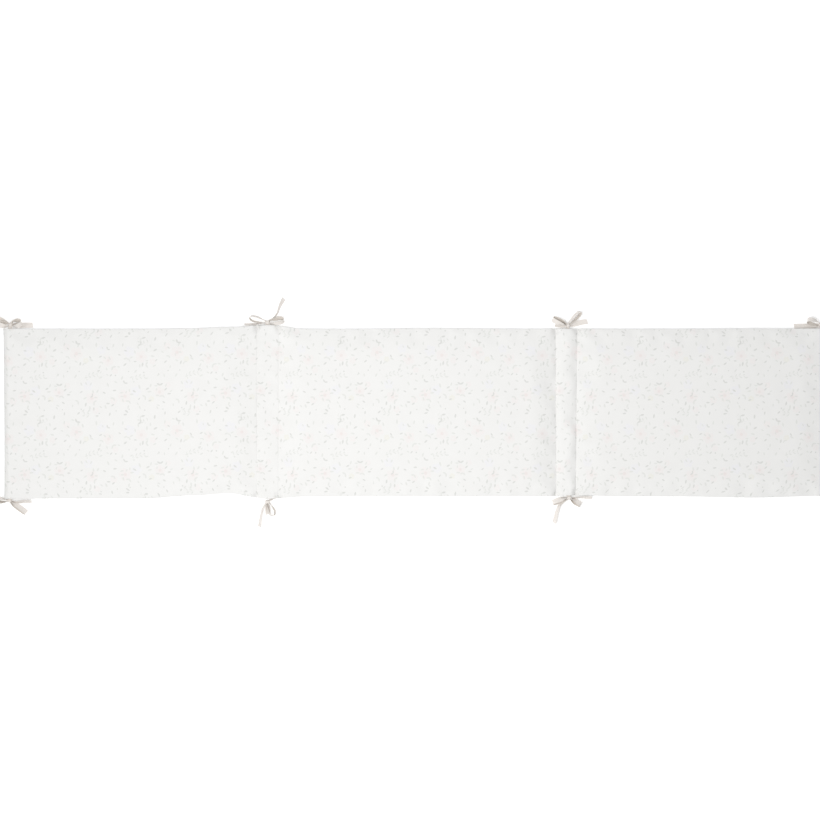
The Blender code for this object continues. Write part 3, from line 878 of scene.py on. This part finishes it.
def stitches_along(line, up, seed):
    """Points of the stitches along one sewn seam, a copy of the thread at each, and a stitch's faces."""
    thread, faces = thread_stitch()
    length = travelled(line)
    at = np.arange(STITCH_PITCH, length[-1] - STITCH_PITCH / 2, STITCH_PITCH)
    sway = np.random.default_rng(seed).uniform(-1, 1, (2, len(at)))
    at = at + sway[0] * STITCH_SWAY
    centre, ahead = (
        np.stack([np.interp(places, length, line[:, k]) for k in range(3)], axis=-1)
        for places in (at, at + STITCH / 2)
    )
    along = unit(ahead - centre + 1e-12)
    side = unit(np.cross(up, along))
    centre = centre + side * (sway[1] * STITCH_SWAY / 2)[:, None]
    axes = np.stack([along, side, np.cross(along, side)], axis=1)
    return centre[:, None] + np.einsum("pk,nkc->npc", thread, axes), faces


def make_stitches(cover, top, under, material):
    """The thread of the hinge seams, on both faces, and of the two ends."""
    lines = [(210, top[1, 1:-1], 1), (211, top[-2, 1:-1], 1)]
    for number, column in enumerate(cover.seam_columns[1:-1]):
        lines += [(200 + number, top[column], 1), (200 + number, under[column // 2], -1)]
    draft = Draft()
    for seed, line, way in lines:
        points, faces = stitches_along(line, way * UP, seed)
        for stitch in points:
            draft.add(stitch, faces, stitch[:, :2])
    return as_piece("stitches", draft.mesh("stitches"), material)


# ---- the bows ----


class Draft:
    """Points and faces of one piece; each point has a place on the flat cloth and a side of that cloth."""

    def __init__(self):
        self.points, self.faces, self.flats, self.backs, self.count = [], [], [], [], 0

    def add(self, points, faces, flats, back=0.0):
        self.points.append(points)
        self.flats.append(flats)
        self.backs.append(np.broadcast_to(back, len(points)))
        self.faces += [tuple(v + self.count for v in face) for face in faces]
        self.count += len(points)

    def mesh(self, name):
        mesh = new_mesh(name, np.concatenate(self.points), self.faces)
        lay_flat(mesh, np.concatenate(self.flats)[corner_points(mesh)])
        sides = mesh.attributes.new(BACK, "FLOAT", "POINT")
        sides.data.foreach_set("value", np.concatenate(self.backs))
        mesh.shade_smooth()
        mesh.set_sharp_from_angle(angle=math.radians(SHARP_DEG))
        return mesh


def add_ribbon(draft, centres, across, widths, phase, cut=0.0):
    """A ribbon along centres: cupped across, folded where it is gathered, its last end cut at a slant."""
    along = unit(np.gradient(centres, axis=0))
    across = unit(across - (across * along).sum(1)[:, None] * along)
    face = np.cross(along, across)[:, None]
    length = travelled(centres)
    share = np.linspace(-1, 1, RIBBON_COLUMNS)
    gathered = np.clip(1 - widths / RIBBON, 0, 1)[:, None]
    cup = CUP * RIBBON * (share**2 - 1 / 3)
    folds = FOLD_HEIGHT * np.cos(math.pi * FOLDS * share + phase)
    sway = SWAY * ripples(length, SWAY_WAVE, int(1e4 * abs(centres[0, 0])))
    off = cup * (1 - gathered) + folds * gathered / (1 - PINCH) + sway[:, None]
    slant = cut * RIBBON * np.clip((length / length[-1] - END_CUT_FROM) / (1 - END_CUT_FROM), 0, 1)
    middle = centres[:, None] + across[:, None] * (share * widths[:, None] / 2)[..., None]
    middle = middle + face * off[..., None] + along[:, None] * (slant[:, None] * share)[..., None]
    half = RIBBON_THICK / 2 * (1 + SELVEDGE_THICK * (np.abs(share) > SELVEDGE_FROM))[:, None]
    ring = np.concatenate([middle + face * half, (middle - face * half)[:, ::-1]], axis=1)
    ring[..., 2] = np.maximum(ring[..., 2], FLOOR_GAP / 2)
    flat_across = np.concatenate([share, share[::-1]]) * RIBBON / 2
    flats = np.stack(np.broadcast_arrays(flat_across, length[:, None]), axis=-1)
    around = 2 * RIBBON_COLUMNS
    faces = tube_faces(len(centres), around, capped=False)
    last = (len(centres) - 1) * around
    for i in range(RIBBON_COLUMNS - 1):
        a, b, c, d = i, i + 1, around - 2 - i, around - 1 - i
        faces.append((a, b, c, d))
        faces.append((last + d, last + c, last + b, last + a))
    back = np.tile(np.repeat([0.0, 1.0], RIBBON_COLUMNS), len(centres))
    draft.add(ring.reshape(-1, 3), faces, flats.reshape(-1, 2), back)
    return length[-1]


def pinched(distances):
    """The ribbon's width at a distance from the knot."""
    return RIBBON * (PINCH + (1 - PINCH) * ease(distances / PINCH_RUN))


def add_loop(draft, tie, loop, phase):
    """A loop out of the knot and back into it, standing on its edge or toppled to one side."""
    half = [(a * loop.length, -b * loop.spread / 2) for a, b in LOOP_SHAPE]
    plan = smooth_line(half + [(a, -b) for a, b in reversed(half[:-1])], LOOP_STEPS)
    out, to_left = plan[:, :1], plan[:, 1:]
    lean = math.radians(loop.topple) * ease(out / TOPPLE_RUN)
    forward, left = compass(loop.aim)
    across = np.sin(lean) * left + np.cos(lean) * UP
    over = np.cos(lean) * left - np.sin(lean) * UP
    fallen = math.radians(abs(loop.topple))
    rest = loop.lift + RIBBON / 2 * math.cos(fallen) + (loop.spread + SOLID_THICK) / 2 * math.sin(fallen)
    height = KNOT_Z + (rest - KNOT_Z) * ease(out / SETTLE_RUN)
    centres = np.array([*tie.knot, 0.0]) + out * forward + to_left * over + height * UP
    return add_ribbon(draft, centres, across, pinched(out[:, 0]), phase)


def add_tail(draft, tie, rows, layer):
    """A free end that leaves the knot, settles on the floor and turns on its way."""
    line = smooth_line(rows, TAIL_STEPS)
    line[0, :2] = line[1, :2] * TAIL_START
    tilt = np.radians(line[:, 2:])
    heading = unit(np.gradient(line[:, :2], axis=0))
    left = np.stack([-heading[:, 1], heading[:, 0], np.zeros(len(line))], axis=1)
    across = np.sin(tilt) * left + np.cos(tilt) * UP
    from_knot = np.linalg.norm(line[:, :2], axis=1)
    rest = FLOOR_GAP + RIBBON / 2 * np.abs(across[:, 2]) + SOLID_THICK / 2 * np.abs(np.sin(tilt[:, 0]))
    start = KNOT_Z + layer * LAYER
    height = start + (rest - start) * ease(from_knot / SETTLE_RUN)
    centres = np.stack([tie.knot[0] + line[:, 0], tie.knot[1] + line[:, 1], height], axis=1)
    return add_ribbon(draft, centres, across, pinched(from_knot), TAIL_PHASE + layer, END_CUT * (-1) ** layer)


def add_root(draft, tie):
    """The sewn end, from inside the rim's seam to the knot."""
    rim = rim_of(tie)
    heading = unit(np.array([tie.knot[0] - tie.root, tie.knot[1] - rim]))
    tilt = math.radians(tie.root_tilt)
    across = np.array([-heading[1] * math.sin(tilt), heading[0] * math.sin(tilt), math.cos(tilt)])
    inside = math.copysign(ROOT_INSET, -tie.knot[1])
    start = np.array([tie.root, rim + inside, float(rim_level(tie.root))])
    end = np.array([*tie.knot, KNOT_Z - LAYER])
    share = np.linspace(0, 1, ROOT_STEPS)
    widths = RIBBON * (1 - (1 - PINCH) * ease(share * ROOT_PINCH))
    centres = start + (end - start) * share[:, None]
    return add_ribbon(draft, centres, np.repeat(across[None], ROOT_STEPS, 0), widths, ROOT_PHASE)


def add_knot(draft, tie):
    """The knot: a band of ribbon wrapped round the others, in folds that run round it."""
    turns = [loop.aim - 180 * number for number, loop in enumerate(tie.loops)]
    axis, side = compass(sum(turns) / len(turns) if len(turns) > 1 else 0.0)
    tip = np.linspace(0, math.pi, KNOT_RINGS)[1:-1, None]
    turn = np.linspace(0, 2 * math.pi, KNOT_TURNS, endpoint=False)[None]
    place = np.sign(np.cos(tip)) * np.abs(np.cos(tip)) ** KNOT_BLUNT + 0 * turn
    bulge = np.sin(tip) ** KNOT_FULL
    folds = KNOT_FOLD * np.cos(KNOT_FOLDS * math.pi * place + KNOT_FOLD_SWAY * np.sin(turn))
    overlap = KNOT_OVERLAP * np.tanh((place - KNOT_OVERLAP_SWAY * np.sin(turn + 1.0)) / KNOT_OVERLAP_RUN)
    radius = bulge * (1 + (folds + overlap) * bulge)
    points = np.array([*tie.knot, KNOT_Z]) + axis * (KNOT[0] * place)[..., None]
    points = points + side * (KNOT[1] * radius * np.cos(turn))[..., None]
    points = points + UP * (KNOT[2] * radius * np.sin(turn))[..., None]
    flats = np.stack(np.broadcast_arrays(KNOT[0] * place, KNOT[1] * turn), axis=-1)
    draft.add(points.reshape(-1, 3), tube_faces(len(points), KNOT_TURNS), flats.reshape(-1, 2))


def make_bow(tie, material):
    """One ribbon with its sewn end, loops, free ends and knot. Its whole length is added up, but not used."""
    draft = Draft()
    length = KNOT_TAKE + add_root(draft, tie)
    for number, loop in enumerate(tie.loops):
        length += add_loop(draft, tie, loop, LOOP_PHASE * number)
    for layer, rows in enumerate(tie.tails):
        length += add_tail(draft, tie, rows, layer - 1)
    add_knot(draft, tie)
    name = tie.name.replace("tie", "bow")
    bow = as_piece(name, draft.mesh(name), material)
    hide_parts(tie.name)


# ---- materials ----


class Graph:
    """A material's nodes, made in the order in which they are used."""

    def __init__(self, name):
        self.material = bpy.data.materials.new(name)
        self.material.use_nodes = True
        self.nodes = self.material.node_tree.nodes
        self.links = self.material.node_tree.links
        self.shader = self.nodes["Principled BSDF"]

    def node(self, kind, *values, **settings):
        made = self.nodes.new(kind)
        for key, value in settings.items():
            setattr(made, key, value)
        for socket, value in zip(made.inputs, values):
            self.put(value, socket)
        return made

    def put(self, value, socket):
        """Links a value that another node makes, or sets one; a colour is opaque."""
        if isinstance(value, bpy.types.NodeSocket):
            self.links.new(value, socket)
        elif value is not None:
            socket.default_value = (*value, 1.0) if socket.type == "RGBA" else value

    def math(self, operation, *values):
        return self.node("ShaderNodeMath", *values, operation=operation).outputs[0]

    def least(self, values):
        return functools.reduce(lambda first, second: self.math("MINIMUM", first, second), values)

    def vector(self, operation, *values):
        made = self.node("ShaderNodeVectorMath", *values, operation=operation)
        return made.outputs["Value" if operation in ("DISTANCE", "DOT_PRODUCT") else "Vector"]

    def flat(self, scale):
        """The place on the flat cloth, in the units that scale gives."""
        cloth = self.node("ShaderNodeUVMap", uv_map=FLAT).outputs[0]
        return self.vector("MULTIPLY", cloth, (scale, scale, 0.0))

    def apart(self, vector):
        """x and y of a vector."""
        return self.node("ShaderNodeSeparateXYZ", vector).outputs[:2]

    def noise(self, point, size, detail=2.0):
        made = self.node("ShaderNodeTexNoise", point, noise_dimensions="3D")
        made.inputs["Scale"].default_value = size
        made.inputs["Detail"].default_value = detail
        return made.outputs["Fac"]

    def between(self, value, low, high, out_low=0.0, out_high=1.0, kind="LINEAR"):
        made = self.node("ShaderNodeMapRange", value, low, high, out_low, out_high, interpolation_type=kind)
        return made.outputs[0]

    def mixed(self, share, first, second):
        made = self.node("ShaderNodeMix", data_type="RGBA")
        self.put(share, made.inputs[0])
        self.put(first, made.inputs[6])
        self.put(second, made.inputs[7])
        return made.outputs[2]

    def clouded(self, point, size, deep, pale):
        """Patches of two colours that run into each other."""
        return self.mixed(self.between(self.noise(point, size, 3.0), *CLOUD_SPAN), deep, pale)

    def bump(self, height, distance):
        made = self.node("ShaderNodeBump")
        made.inputs["Distance"].default_value = distance
        self.links.new(height, made.inputs["Height"])
        self.links.new(made.outputs[0], self.shader.inputs["Normal"])

    def finish(self, color, roughness, sheen):
        self.put(color, self.shader.inputs["Base Color"])
        self.shader.inputs["Roughness"].default_value = roughness
        self.shader.inputs["Specular IOR Level"].default_value = SPECULAR
        self.shader.inputs["Sheen Weight"].default_value = sheen
        self.shader.inputs["Sheen Roughness"].default_value = SHEEN_ROUGHNESS
        return self.material


def around(motif, aside, ahead=0.0):
    """A place beside or ahead of a motif's middle, which turns with it."""
    forward, left = compass(motif.turn)
    return np.array([motif.x, motif.y, 0.0]) + ahead * forward + aside * left


def leaf(graph, point, motif):
    """How far point lies outside a pointed leaf, the overlap of two discs; all in millimetres."""
    radius = motif.size * LEAF_RADIUS
    sides = [graph.vector("DISTANCE", point, around(motif, radius * LEAF_OFFSET * k)) for k in (-1, 1)]
    return graph.math("SUBTRACT", graph.math("MAXIMUM", *sides), radius)


def pair(graph, point, motif):
    """Two leaves that part from one point, like a seedling."""
    leaves = []
    for side in (-1, 1):
        x, y, _ = around(motif, side * PAIR_ASIDE * motif.size)
        one = motif._replace(x=x, y=y, turn=motif.turn + side * PAIR_TURN)
        leaves.append(leaf(graph, point, one))
    return graph.least(leaves)


def dot(graph, point, motif):
    return graph.math("SUBTRACT", graph.vector("DISTANCE", point, (motif.x, motif.y, 0.0)), motif.size / 2)


def flower(graph, point, motif):
    """Round petals about a middle, each a disc that overlaps the next."""
    petals = []
    for petal in range(PETALS):
        turned = motif._replace(turn=motif.turn + 360 / PETALS * petal)
        petals.append(graph.vector("DISTANCE", point, around(turned, 0.0, motif.size * PETAL_OUT)))
    return graph.math("SUBTRACT", graph.least(petals), motif.size * PETAL)


def sprig(graph, point, motif):
    """A curved stem, motif.size millimetres long, with leaves in pairs."""
    ahead, left = compass(motif.turn)
    beside = graph.vector("SUBTRACT", point, (motif.x, motif.y, 0.0))
    x, y = graph.vector("DOT_PRODUCT", beside, ahead), graph.vector("DOT_PRODUCT", beside, left)
    lowered = graph.math("MULTIPLY_ADD", graph.math("MULTIPLY", x, x), SPRIG_BEND * 4 / motif.size**2, y)
    off = graph.math("ABSOLUTE", lowered)
    along = graph.math("WRAP", x, SPRIG_STEP, 0.0)
    step = graph.node("ShaderNodeCombineXYZ", along, off, 0.0).outputs[0]
    size = SPRIG_STEP * SPRIG_LEAF
    one = motif._replace(x=SPRIG_STEP / 2, y=SPRIG_ASIDE * size, turn=SPRIG_TURN, size=size)
    shape = graph.least((graph.math("SUBTRACT", off, STEM_HALF), leaf(graph, step, one)))
    past = graph.math("SUBTRACT", graph.math("ABSOLUTE", x), motif.size / 2)
    return graph.math("MAXIMUM", shape, past)


SHAPES = {"leaf": leaf, "pair": pair, "dot": dot, "flower": flower, "sprig": sprig}
LEAFY = ("leaf", "pair")  # these don't lie across one another


def lies_across(motif, other):
    """Whether two leaves of the repeat, or of neighbouring ones, lie nearly on one another."""
    if motif.kind not in LEAFY or other.kind not in LEAFY:
        return False
    x = (motif.x - other.x + REPEAT_X / 2) % REPEAT_X - REPEAT_X / 2
    y = (motif.y - other.y + REPEAT_Y / 2) % REPEAT_Y - REPEAT_Y / 2
    return math.hypot(x, y) < LEAF_CLEAR


def print_motifs():
    """Every motif of the repeat: the bouquets with their scattered leaves, then the rows between them.
    A leaf that would lie nearly on an earlier one is left out."""
    found = []
    for bunch in BOUQUETS:
        draw = np.random.default_rng(bunch.seed)
        blooms = ((0, bunch.size, "petal"), (1, bunch.small, bunch.ink), (-1, BUD * bunch.size, "petal"))
        for way, size, ink in blooms:
            x, y = bunch.x + way * bunch.aside[0], bunch.y + way * bunch.aside[1]
            found.append(Motif("flower", x, y, draw.uniform(0, 360 / PETALS), size, ink))
        found.append(Motif("dot", bunch.x, bunch.y, 0.0, HEART * bunch.size, "rose"))
        for number in range(BOUQUET_LEAVES):
            outward = (number + draw.uniform(0, BOUQUET_STRAY)) * 360 / BOUQUET_LEAVES
            x, y = (bunch.x, bunch.y) + draw.uniform(*BOUQUET_REACH) * compass(outward)[0][:2]
            turn = outward + BOUQUET_TURN * draw.uniform(-1, 1)
            kind = "pair" if number % 5 == 4 else "leaf"
            ink = "olive" if number % 3 == 1 else "sage"
            found.append(Motif(kind, x, y, turn, draw.uniform(*BOUQUET_LEAF), ink))
    for row in PRINT_ROWS:
        draw = np.random.default_rng(row.seed)
        shift = draw.uniform(0, 1)
        for number in range(row.count):
            x = (number + shift) * REPEAT_X / row.count + row.stray * draw.uniform(-1, 1)
            y = row.y + ROW_STRAY * row.stray * draw.uniform(-1, 1)
            turn = row.turn + row.spread * draw.uniform(-1, 1)
            size = row.size * draw.uniform(*ROW_SIZES)
            found.append(Motif(row.kind, x, y, turn, size, row.ink))
    kept = []
    for motif in found:
        if not any(lies_across(motif, other) for other in kept):
            kept.append(motif)
    return kept


def wrapped(graph, point):
    """point within the repeat, for each of four ways to lay the repeat's borders."""
    found = {}
    for shift_x in (False, True):
        for shift_y in (False, True):
            low = (-REPEAT_X / 2 * shift_x, -REPEAT_Y / 2 * shift_y, 0.0)
            high = (low[0] + REPEAT_X, low[1] + REPEAT_Y, 1.0)
            found[shift_x, shift_y] = graph.vector("WRAP", point, high, low)
    return found


def away_from_border(value, repeat):
    """Whether to shift the repeat's borders for this place, and the place seen from there."""
    value = value % repeat
    shift = min(value, repeat - value) < repeat / 4
    return shift, value - repeat if shift and value > repeat / 2 else value


def printed(graph, point, ground):
    """The ground with each ink of the repeat laid over it in turn."""
    tiles = wrapped(graph, point)
    covering = graph.between(graph.noise(point, INK_GRAIN), *INK_SPAN, INK_THIN, 1.0)
    color = ground
    motifs = print_motifs()
    for ink, tint in INKS.items():
        shapes = []
        for motif in motifs:
            if motif.ink == ink:
                shift_x, x = away_from_border(motif.x, REPEAT_X)
                shift_y, y = away_from_border(motif.y, REPEAT_Y)
                moved = motif._replace(x=x, y=y)
                shapes.append(SHAPES[motif.kind](graph, tiles[shift_x, shift_y], moved))
        edge = INK_EDGE if ink in ("sage", "olive") else SOFT_EDGE
        inside = graph.between(graph.least(shapes), edge, -edge, 0.0, 1.0, "SMOOTHSTEP")
        color = graph.mixed(graph.math("MULTIPLY", inside, covering), color, tint)
    return color


def cotton():
    """Fine printed poplin, matt and a little uneven."""
    graph = Graph("printed_cotton")
    cloth = graph.flat(MM)
    color = printed(graph, cloth, graph.clouded(cloth, CLOUD_GRAIN, COTTON_DEEP, COTTON_PALE))
    weave = plain_weave(graph, cloth, COTTON_PITCH)
    color = graph.mixed(graph.math("MULTIPLY", weave, WEAVE_SHADE), color, COTTON_GAP)
    slubs = graph.math("MULTIPLY", thread_slubs(graph, cloth, COTTON_SLUB), COTTON_SLUB_HEIGHT)
    height = graph.math("MULTIPLY_ADD", weave, -COTTON_THREAD, slubs)
    rumple = graph.noise(cloth, RUMPLE_GRAIN, 3.0)
    height = graph.math("MULTIPLY_ADD", rumple, RUMPLE_HEIGHT, height)
    graph.bump(height, MM_HEIGHT)
    return graph.finish(color, COTTON_ROUGHNESS, COTTON_SHEEN)


def plain_weave(graph, cloth, pitch):
    """0 on the threads and 1 in the gaps between them, for threads that pass over and under."""
    turns = graph.apart(graph.vector("MULTIPLY", cloth, (math.pi / pitch, math.pi / pitch, 0.0)))
    waves = [graph.math("ABSOLUTE", graph.math("SINE", turn)) for turn in turns]
    return graph.math("POWER", graph.math("MAXIMUM", *waves), WEAVE_POWER)


def thread_slubs(graph, cloth, size):
    """Uneven threads of both directions."""
    scales = ((size * SLUB_LENGTH, size, 1.0), (size, size * SLUB_LENGTH, 1.0))
    return graph.math("ADD", *(graph.noise(graph.vector("MULTIPLY", cloth, s), 1.0, 1.0) for s in scales))


def thread():
    """Sewing thread, twisted from two strands, with painted shade where the twist dips."""
    graph = Graph("sewing_thread")
    slant = graph.math("ADD", *graph.apart(graph.flat(MM)))
    twist = graph.math("SINE", graph.math("MULTIPLY", slant, TWIST))
    # painted shade in the grooves of the twist, which follows its bump
    color = graph.mixed(graph.between(twist, -1.0, 1.0), THREAD_TWIST_SHADE, COTTON_PALE)
    graph.bump(twist, MM_HEIGHT * THREAD_RELIEF)
    return graph.finish(color, COTTON_ROUGHNESS, COTTON_SHEEN)


def ribbon():
    """Soft woven tape with cross ribs and firmer edges, its colour a little uneven, with painted shade
    between the ribs and on its back.
    """
    graph = Graph("blush_ribbon")
    cloth = graph.flat(MM)
    across, along = graph.apart(cloth)
    aside = graph.math("ABSOLUTE", across)
    edge = graph.between(aside, SELVEDGE_FROM * RIBBON / 2 * MM, SELVEDGE_FULL * RIBBON / 2 * MM)
    ribs = graph.math("SINE", graph.math("MULTIPLY", along, 2 * math.pi / RIB_PITCH))
    ribs = graph.between(ribs, -1.0, 1.0)
    ends = graph.math("ABSOLUTE", graph.math("SINE", graph.math("MULTIPLY", aside, math.pi / RIBBON_YARN)))
    color = graph.clouded(cloth, RIBBON_CLOUD, RIBBON_DEEP, RIBBON_PALE)
    # painted shade in the troughs between the ribs, patchy with noise
    slub_and_trough_shade = graph.math("MULTIPLY", graph.noise(cloth, RIBBON_SLUB), RIB_SHADE)
    slub_and_trough_shade = graph.math("MULTIPLY", slub_and_trough_shade, graph.math("SUBTRACT", 1.0, ribs))
    color = graph.mixed(slub_and_trough_shade, color, RIBBON_TROUGH_SHADE)
    color = graph.mixed(graph.math("MULTIPLY", edge, EDGE_SHADE), color, RIBBON_PALE)
    back = graph.node("ShaderNodeAttribute", attribute_name=BACK).outputs["Fac"]
    # painted shade: the ribbon's back, which lies inside the loops, is darkened
    color = graph.mixed(back, color, graph.vector("MULTIPLY", color, RIBBON_BACK_SHADE))
    height = graph.math("MULTIPLY_ADD", ends, YARN_RELIEF, ribs)
    height = graph.math("MULTIPLY_ADD", edge, EDGE_RELIEF, height)
    graph.bump(height, MM_HEIGHT * RIB_RELIEF)
    return graph.finish(color, RIBBON_ROUGHNESS, RIBBON_SHEEN)


# ---- the studio ----


def make_floor():
    """A pale floor so bright that it falls out white round the pad."""
    graph = Graph("pale_floor")
    tone = graph.mixed(graph.noise(graph.flat(1.0), FLOOR_GRAIN), FLOOR_DEEP, FLOOR_PALE)
    graph.put(tone, graph.shader.inputs["Emission Color"])
    graph.shader.inputs["Emission Strength"].default_value = FLOOR_GLOW
    corners = [(x * FLOOR_HALF, y * FLOOR_HALF, FLOOR_Z) for x, y in ((-1, -1), (1, -1), (1, 1), (-1, 1))]
    mesh = new_mesh("floor", corners, [(0, 1, 2, 3)])
    lay_flat(mesh, [corner[:2] for corner in corners])
    mesh.materials.append(graph.finish(tone, FLOOR_ROUGHNESS, 0.0))
    floor = linked("floor", mesh)


def light_scene():
    """A large soft lamp over the left of the pad, a soft window beside it, and even light from all round."""
    key = bpy.data.lights.new("key", "AREA")
    key.shape = "DISK"
    key.size = KEY_SIZE
    key.energy = KEY_POWER
    key.color = KEY_COLOR
    linked("key", key).location = KEY_PLACE
    window = bpy.data.lights.new("window", "SUN")
    window.energy = SUN_POWER
    window.angle = SUN_SIZE
    linked("window", window).rotation_euler = Vector(SUN_FROM).to_track_quat("Z", "Y").to_euler()
    world = bpy.data.worlds.new("studio")
    world.use_nodes = True
    background = world.node_tree.nodes["Background"]
    background.inputs["Color"].default_value = (*WORLD_COLOR, 1.0)
    background.inputs["Strength"].default_value = WORLD_LIGHT
    bpy.context.scene.world = world
    bpy.context.scene.view_settings.view_transform = "Standard"


def place_camera():
    """Straight above the pad, whose length fills the width of the square picture."""
    data = bpy.data.cameras.new("camera")
    data.lens = LENS
    data.sensor_width = SENSOR
    camera = linked("camera", data)
    camera.location = (*VIEW_CENTRE, PAD_TOP + VIEW_WIDTH * LENS / SENSOR)
    bpy.context.scene.camera = camera


# ---- the whole ----


def main():
    cover = Cover()
    cloth = cotton()
    mesh, top, under = cover_mesh("filled_cover", cover)
    pad = as_piece("filled_cover", mesh, cloth)
    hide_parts("bumper_pad")
    make_stitches(cover, top, under, thread())
    tape = ribbon()
    for tie in TIES:
        make_bow(tie, tape)
    make_floor()
    light_scene()
    place_camera()


main()
